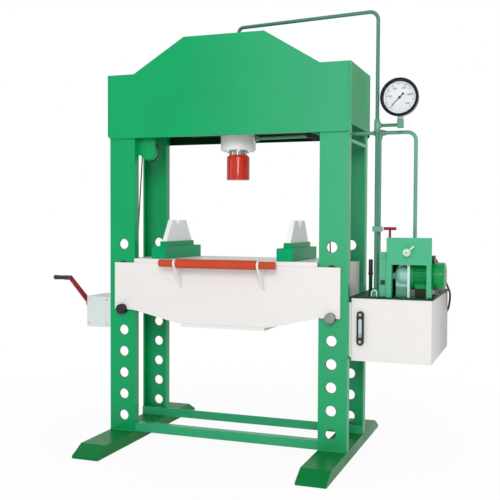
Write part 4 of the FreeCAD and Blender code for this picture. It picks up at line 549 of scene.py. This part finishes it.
# Table pins: plain turned steel bars through posts and table, pulled out by hand to set the table's height.
# The left one is blackened, and the right one worn bright.
smoothed(ground_steel("blackened_pin", (58, 58, 60), 0.34, (1, 14, 1)), "left_table_pin", edge=0.6)
smoothed(ground_steel("worn_pin", (150, 150, 148), 0.28, (1, 14, 1)), "right_table_pin", edge=0.6)

# Rope wheels: grooved sheaves on stub axles that stand out of green brackets on the posts, and small pulleys
# in the table's end frames. Cast, with turned grooves.
cast_grey = black_rubber("cast_iron", (46, 54, 52), 0.5, 300.0, 0.2)
cast_grey.node_tree.nodes["Principled BSDF"].inputs["Metallic"].default_value = 0.7
smoothed(green, "rope_brackets", edge=1.0)
smoothed(cast_grey, "left_head_sheave", "right_head_sheave", "left_table_pulley", "right_table_pulley",
         edge=0.5)


# Wire rope: six strands laid round a core, 6 mm thick. It runs from the saddle down to the table, under it,
# up to the right sheave, across to the left one and down to the drum.
rope_y, rope_step = -107.0, 3.6


def evenly(points, step):
    """Points one step apart along a broken line, by interpolation on its running length."""
    points = np.asarray(points, float)
    run = np.concatenate([[0], np.cumsum(np.linalg.norm(np.diff(points, axis=0), axis=1))])
    s = np.linspace(0, run[-1], int(run[-1] / step) + 2)
    return np.stack([np.interp(s, run, points[:, axis]) for axis in range(3)], -1), s


def arc(x, z, radius, first, last):
    """Points round a circle in the rope's plane, by angles from the right towards the top."""
    t = np.radians(np.linspace(first, last, 40))
    return np.stack([x + radius * np.cos(t), np.full(40, rope_y), z + radius * np.sin(t)], -1)


def stranded(name, points, node):
    """Strand k's centre circles the rope's line at 1.95 mm, its angle growing with the distance, one turn in
    40 mm; each strand is a tube of 1.02 mm radius, and a core fills the middle."""
    lay_length, circle, strand_radius, core_radius = 40, 1.95, 1.02, 1.3
    line, s = evenly(points, rope_step)
    ahead = np.gradient(line, axis=0)
    ahead /= np.linalg.norm(ahead, axis=1)[:, None]
    over = np.array([0.0, 1.0, 0.0])
    aside = np.cross(ahead, over)
    grids = [tube_along(line, core_radius, over, 6)]
    for k in range(6):
        angle = 2 * pi * s / lay_length + k * pi / 3
        centre = line + circle * (np.cos(angle)[:, None] * over + np.sin(angle)[:, None] * aside)
        grids.append(tube_along(centre, strand_radius, over, 6))
    piece = forged(name, grids, wire, body_of[node], 60)
    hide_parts(node)
    return piece


wire = ground_steel("oiled_wire", (74, 80, 80), 0.42, (1, 1, 1), 400.0, 0.3)
left_fall = stranded("left_fall_strands", [(-440, rope_y, 1353), (-477, rope_y, 770.5)], "rope_left_fall")
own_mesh(left_fall)
right_fall = stranded("right_fall_strands", [(443, rope_y, 1440), (477, rope_y, 770.5)], "rope_right_fall")
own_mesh(right_fall)
table_line = np.concatenate([arc(-447, 770, 30, 180, 270), arc(447, 770, 30, 270, 360)])
stranded("table_run_strands", table_line, "rope_table_run")
head_line = np.concatenate([arc(394, 1440, 49, 0, 90), arc(-535, 1440, 49, 90, 180), [(-584, rope_y, 597)]])
stranded("head_run_strands", head_line, "rope_head_run")
dead_end = evenly(arc(-396, 1353, 44, 180, -90), rope_step)[0]
forged("dead_end_strands", [tube_along(dead_end, 2.9, (0, 1, 0), 10)], wire, "frame")

# Winch: a pale folded casing on the left post, open at the top for the rope, with turned bearing caps for the
# drum's and the crank's shafts and a screw at each corner.
casing = enamel("winch_enamel", (216, 226, 223), 0.36, 0.02, 0.25)
smoothed(casing, "winch_box", edge=0.8)
smoothed(cast_grey, "rope_drum", edge=0)
smoothed(bright, "crank_shaft", edge=0.4)
bearing_cap = [(0, 19), (3, 19), (4.5, 17.5), (4.5, 10.3), (3.5, 10.3)]
crank_y, crank_z = -132.8, 637.6
forged("winch_bearing_caps", [turned(bearing_cap, (-696, y, z), (-1, 0, 0), 36)
                              for y, z in ((-77, 597), (crank_y, crank_z))], casing, "frame")
corners = [(x, z) for x in (-682, -588) for z in (546, 659)]
forged("winch_screws", [cap_screw((x, -185, z), (0, -1, 0), 4.2, 3.2) for x, z in corners], bright, "frame")

# Crank: a dark red flat arm with a round hub on the drum's drive shaft, and a black turned grip that spins on
# its riveted spindle. A nut holds the arm on the shaft.
crank_red = enamel("crank_enamel", (166, 34, 40), 0.34, 0.06, 0.1)
smoothed(crank_red, "crank_arm", edge=1.0)
smoothed(black_rubber("grip_plastic", (18, 18, 20), 0.42, 500.0), "crank_grip", edge=0.8)
forged("crank_nut", [hex_head((-720, crank_y, crank_z), (-1, 0, 0), 9.5, 5.5)], bright, "crank")

# Tank: a white welded oil tank bolted to the right posts, with a dark green lid whose edge stands out all
# round, a pale lifting eye, and a level gauge at its left front.
lid_green = enamel("lid_enamel", (14, 72, 48), 0.5, 0.06, 0.0, shine=0.06)
smoothed(white, "tank_body", edge=0)
lid_tree = lid_green.node_tree
eye_x, eye_half, lid_face = 0.669, 0.019, 0.716 + floor_z
beside = sum_of(lid_tree, "ABSOLUTE", sum_of(lid_tree, "SUBTRACT", coordinate(lid_tree, "X"), eye_x))
raised = ramp(lid_tree, coordinate(lid_tree, "Z"), lid_face, lid_face + 0.0002)
on_eye = sum_of(lid_tree, "MULTIPLY", raised, ramp(lid_tree, beside, eye_half, eye_half + 0.0002, 1.0, 0.0))
repaint(lid_green, on_eye, (206, 236, 220))
smoothed(lid_green, "tank_lid", edge=0.8)
bolts = [(590, -153), (590, 383), (746, 383), (902, -153), (902, 383)]
bolts += [(x, y) for x in (590, 902) for y in (25, 204)]
forged("lid_bolts", [hex_head((x, y, 714.8), (0, 0, 1), 7, 5, 0.3) for x, y in bolts], dark_steel, "frame")
gauge_black = black_rubber("level_frame", (20, 21, 22), 0.36, 500.0)
smoothed(gauge_black, "level_gauge", edge=0.6)


def sight_glass():
    """Clear acrylic over a pale plate: bluish above, a little darker where the oil stands."""
    material, tree, shader = new_finish("sight_glass", (186, 204, 214), 0.08)
    oil_level = 0.562 + floor_z
    oily = ramp(tree, coordinate(tree, "Z"), oil_level, oil_level + 0.0005, 1.0, 0.0)
    tree.links.new(tint(tree, oily, linear(186, 206, 220), linear(170, 168, 158)), shader.inputs["Base Color"])
    return material


level_x, half_straight = 619, 32.9
pane = turned([(0, 6.6), (0.7, 6.9), (0.9, 6.4), (0.9, 0.1)], (0, 0, 0), (0, -1, 0), 48)
pane = pane + np.sign(pane[..., 2:3]) * np.array([0, 0, half_straight]) + np.array([level_x, -177.05, 583])
forged("level_pane", [pane], sight_glass(), "frame")
bolt_cap = [(0, 6.1), (3.6, 6.1), (4.4, 5.2), (4.4, 0.2)]
forged("level_gauge_bolts", [turned(bolt_cap, (level_x, -178.9, z), (0, -1, 0)) for z in (526, 640)], bright,
       "frame")

# Valve panel: a folded green plate on the lid. In front of it the control valve's pale knob with its lever,
# behind it the valve, and at its left the release valve's block with a red T handle on its screw.
smoothed(enamel("panel_enamel", (74, 178, 134), 0.34, 0.05, 0.15), "valve_panel", edge=0.8)
smoothed(enamel("valve_block_enamel", (92, 180, 142), 0.32, 0.05, 0.15), "release_valve", edge=0.6)
plug = [(0, 12.6), (5.6, 12.6), (6.6, 11.4), (6.6, 0.2)]
forged("release_plug", [turned(plug, (704, -129.9, 777), (0, -1, 0), 4, pi / 4)], gauge_black, "frame")
smoothed(enamel("handle_enamel", (150, 24, 34), 0.3, 0.05, 0.1), "t_handle", edge=0.4)
smoothed(black_rubber("valve_black", (16, 24, 20), 0.4, 300.0), "control_valve", edge=0.6)
knob_plastic, knob_tree, knob_shader = new_finish("knob_plastic", (196, 228, 200), 0.32)
roughen(knob_tree, knob_shader, speckle(knob_tree, object_place(knob_tree), 500.0, 2.0), 0.08, 0.0004)
knob_shader.inputs["Subsurface Weight"].default_value = 0.1
smoothed(knob_plastic, "control_knob", edge=0.5)
forged("knob_screw", [cap_screw((809, -180, 905), (0, -1, 0), 3.2, 1.0)], dark_steel, "control_knob")

# Pump unit: a pale domed bell housing with its darker foot and an upright flange, and the green finned motor
# with black feet, a slotted fan cover and a black terminal box on top.
pump_paint = enamel("pump_enamel", (150, 212, 200), 0.16, 0.05, 0.1, shine=0.9)
pump_tree = pump_paint.node_tree
flange_x, foot_joint = 0.8045, 0.7565 + floor_z
flange = ramp(pump_tree, coordinate(pump_tree, "X"), flange_x, flange_x + 0.0005)
repaint(pump_paint, flange, (214, 236, 234))
below = ramp(pump_tree, coordinate(pump_tree, "Z"), foot_joint, foot_joint + 0.001, 1.0, 0.0)
foot_alone = sum_of(pump_tree, "MULTIPLY", below, sum_of(pump_tree, "SUBTRACT", 1.0, flange))
repaint(pump_paint, foot_alone, (64, 158, 116))
motor_green = enamel("motor_enamel", (6, 146, 74), 0.2, 0.06, 0.05, shine=0.22)
motor_tree = motor_green.node_tree
feet_top = 0.752 + floor_z
feet = ramp(motor_tree, coordinate(motor_tree, "Z"), feet_top, feet_top + 0.001, 1.0, 0.0)
repaint(motor_green, feet, (30, 40, 22))
smoothed(pump_paint, "pump_bell", edge=0.8)
smoothed(motor_green, "motor_casing", edge=0)
smoothed(bright, "motor_rotor", edge=0)
box_black = black_rubber("box_plastic", (20, 22, 22), 0.38, 400.0)
smoothed(box_black, "electric_boxes", edge=0.8)
corners = [(y, z) for y in (-110, -10) for z in (757, 853)]
forged("bell_flange_bolts", [hex_head((805.1, y, z), (-1, 0, 0), 6, 5) for y, z in corners], bright, "frame")
round_four = np.arange(4) * pi / 2 + pi / 4
motor_y, motor_z, cover_radius = -60, 805, 56.6
cover_screws = [cap_screw((921, motor_y + cover_radius * cos(a), motor_z + cover_radius * sin(a)),
                          (0, cos(a), sin(a)), 3.2, 2.0) for a in round_four]
forged("fan_cover_screws", cover_screws, dark_steel, "frame")
corners = [(x, y) for x in (862, 906) for y in (-80, -40)]
forged("terminal_box_screws", [cap_screw((x, y, 889.8), (0, 0, 1), 2.8, 1.6) for x, y in corners], bright,
       "frame")

# Strain reliefs: a gland nut and a tapered rubber sleeve where the lead leaves the terminal box and where it
# enters the starter box. The sleeves follow the lead's own line.
route_object = lead_spline("lead_route", 0.0)
route_mesh = bpy.data.meshes.new_from_object(route_object)
route = np.empty(len(route_mesh.vertices) * 3)
route_mesh.vertices.foreach_get("co", route)
route = (route.reshape(-1, 3) - np.array([0, 0, floor_z])) * 1000
route, _ = evenly(route, 1.5)
sleeve_rows, ribs = 22, 7
gland_nut = [(-2, 10.5), (6, 10.5), (7.5, 9.3), (7.5, 5.4)]
sleeves, nuts = [], []
for line in (route[:sleeve_rows], route[::-1][:sleeve_rows]):
    share = np.linspace(0, 1, len(line))
    ribbed = 8.0 - 2.4 * share + 0.35 * np.cos(share * 2 * ribs * pi)
    sleeves.append(tube_along(line, ribbed, (0.2, 0.3, 0.93), 20))
    nuts.append(turned(gland_nut, line[0], line[1] - line[0], 6))
rubber = black_rubber("sleeve_rubber", (26, 26, 28), 0.6, 700.0)
forged("lead_sleeves", sleeves, rubber, "frame")
forged("lead_gland_nuts", nuts, box_black, "frame")

# Pipes: drawn steel tube with a green-grey enamel, screwed together with unions. The pressure pipe goes from
# the cylinder's cap over the crest and down to the tank, with a branch to the gauge. The return pipe goes
# from the collar to a cross and the valve.
pipe_paint = enamel("pipe_enamel", (104, 164, 140), 0.28, 0.08, 0.1)
smoothed(enamel("pressure_pipe_enamel", (78, 136, 112), 0.28, 0.08, 0.1), "pressure_pipe", edge=0)
smoothed(pipe_paint, "return_pipe", edge=0)
smoothed(pipe_paint, "pipe_fittings", edge=0.5)
union = [(0, 11.2), (1.5, 12.4), (9, 12.4), (10.5, 11.2), (10.5, 8.1)]
spots = [((669, -105, 1421), (0, 0, -1)), ((669, -105, 1455), (0, 0, 1)), ((671, -55, 1395), (0, 0, -1)),
         ((688, -55, 1412), (1, 0, 0)), ((654, -55, 1412), (-1, 0, 0))]
forged("pipe_union_nuts", [turned(union, foot, aim, 6) for foot, aim in spots], pipe_paint, "frame")
coupling = [(0, 11.5), (1, 13), (14, 13), (15.5, 11.5), (15.5, 7.1)]
forged("gauge_coupling", [turned(coupling, (767, -105, 1461.2), (0, 0, 1), 36)], white, "frame")

# Pressure gauge: a navy case with a rolled bezel, a pale dial with a printed scale and plain numbers, a black
# needle with a round tail, and a flat glass.
dial_x, dial_y, dial_z = 767.0, -132.0, 1549.0
zero_angle, sweep = 226, 265
navy = enamel("gauge_enamel", (12, 20, 46), 0.16, 0.03, 0.0, shine=0.2)
smoothed(navy, "gauge_case", edge=0.6)
smoothed(black_rubber("needle_black", (14, 14, 15), 0.45, 400.0), "gauge_needle", edge=0)
glass, _, glass_shader = new_finish("gauge_pane", (250, 252, 252), 0.02)
glass_shader.inputs["Transmission Weight"].default_value = 1.0
glass_shader.inputs["IOR"].default_value = 1.1
smoothed(glass, "gauge_glass", edge=0)
dial_white, dial_tree, dial_shader = new_finish("dial_white", (230, 232, 233), 0.5)
roughen(dial_tree, dial_shader, speckle(dial_tree, object_place(dial_tree), 300.0, 2.0), 0.03, 0.0002)
ink = black_rubber("dial_ink", (22, 24, 30), 0.6, 400.0, 0.0)
dial_disc = [(0, 66.6), (0.25, 66.8), (0.35, 66.3), (0.35, 0.2)]
forged("dial_plate", [turned(dial_disc, (dial_x, dial_y, dial_z), (0, -1, 0), 72)], dial_white, "frame")
margin_ring = [(0.2, 62.2), (0.55, 62.4), (0.55, 66.4), (0.2, 66.6)]
margin_white, _, _ = new_finish("margin_white", (244, 248, 252), 0.4)
forged("dial_margin", [turned(margin_ring, (dial_x, dial_y, dial_z), (0, -1, 0), 72)], margin_white, "frame")


def scale_marks():
    """Fifty-one bars on the dial, clockwise from the zero angle through the sweep: each a flat box between an
    inner and an outer radius, longer and wider at every fifth mark."""
    intervals, outer, thickness = 50, 61, 0.25
    middle = np.array([dial_x, dial_y - 0.3, dial_z])
    marks = []
    for i in range(intervals + 1):
        angle = radians(zero_angle - i * sweep / intervals)
        out, beside = np.array([cos(angle), 0, sin(angle)]), np.array([-sin(angle), 0, cos(angle)])
        inner, half = (52.0, 0.75) if i % 5 == 0 else (57.0, 0.4)
        ring = np.array([middle + out * inner - beside * half, middle + out * inner + beside * half,
                         middle + out * outer + beside * half, middle + out * outer - beside * half])
        marks.append(np.stack([ring, ring - np.array([0, thickness, 0])]))
    return marks


forged("dial_marks", scale_marks(), ink, "frame")
numbers = bpy.data.meshes.new("dial_numbers")
shell = bmesh.new()
number_radius = 41.5
for i, text in enumerate(("0", "100", "200", "300", "400", "500")):
    angle = radians(zero_angle - i * sweep / 5)
    writing = bpy.data.curves.new("number", "FONT")
    writing.body = text
    writing.size = 0.0125
    writing.extrude = 0.00012
    writing.align_x = "CENTER"
    writing.align_y = "CENTER"
    written = bpy.data.meshes.new_from_object(bpy.data.objects.new("number", writing))
    place = Vector((dial_x + number_radius * cos(angle), dial_y - 0.45, dial_z + number_radius * sin(angle)))
    place = place / 1000 + Vector((0, 0, floor_z))
    written.transform(Matrix.Translation(place) @ Matrix.Rotation(radians(90), 4, "X"))
    shell.from_mesh(written)
shell.to_mesh(numbers)
shell.free()
numbers.materials.clear()
numbers.materials.append(ink)
digits = bpy.data.objects.new("dial_numbers", numbers)
bpy.context.scene.collection.objects.link(digits)
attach(digits, "frame")

# Breather: a slim black moulded cap that lets air in and out of the tank. It is pushed over the bore of the
# filler neck on the lid.
smoothed(black_rubber("breather_plastic", (18, 20, 20), 0.42, 500.0), "breather_cap", edge=0.5)
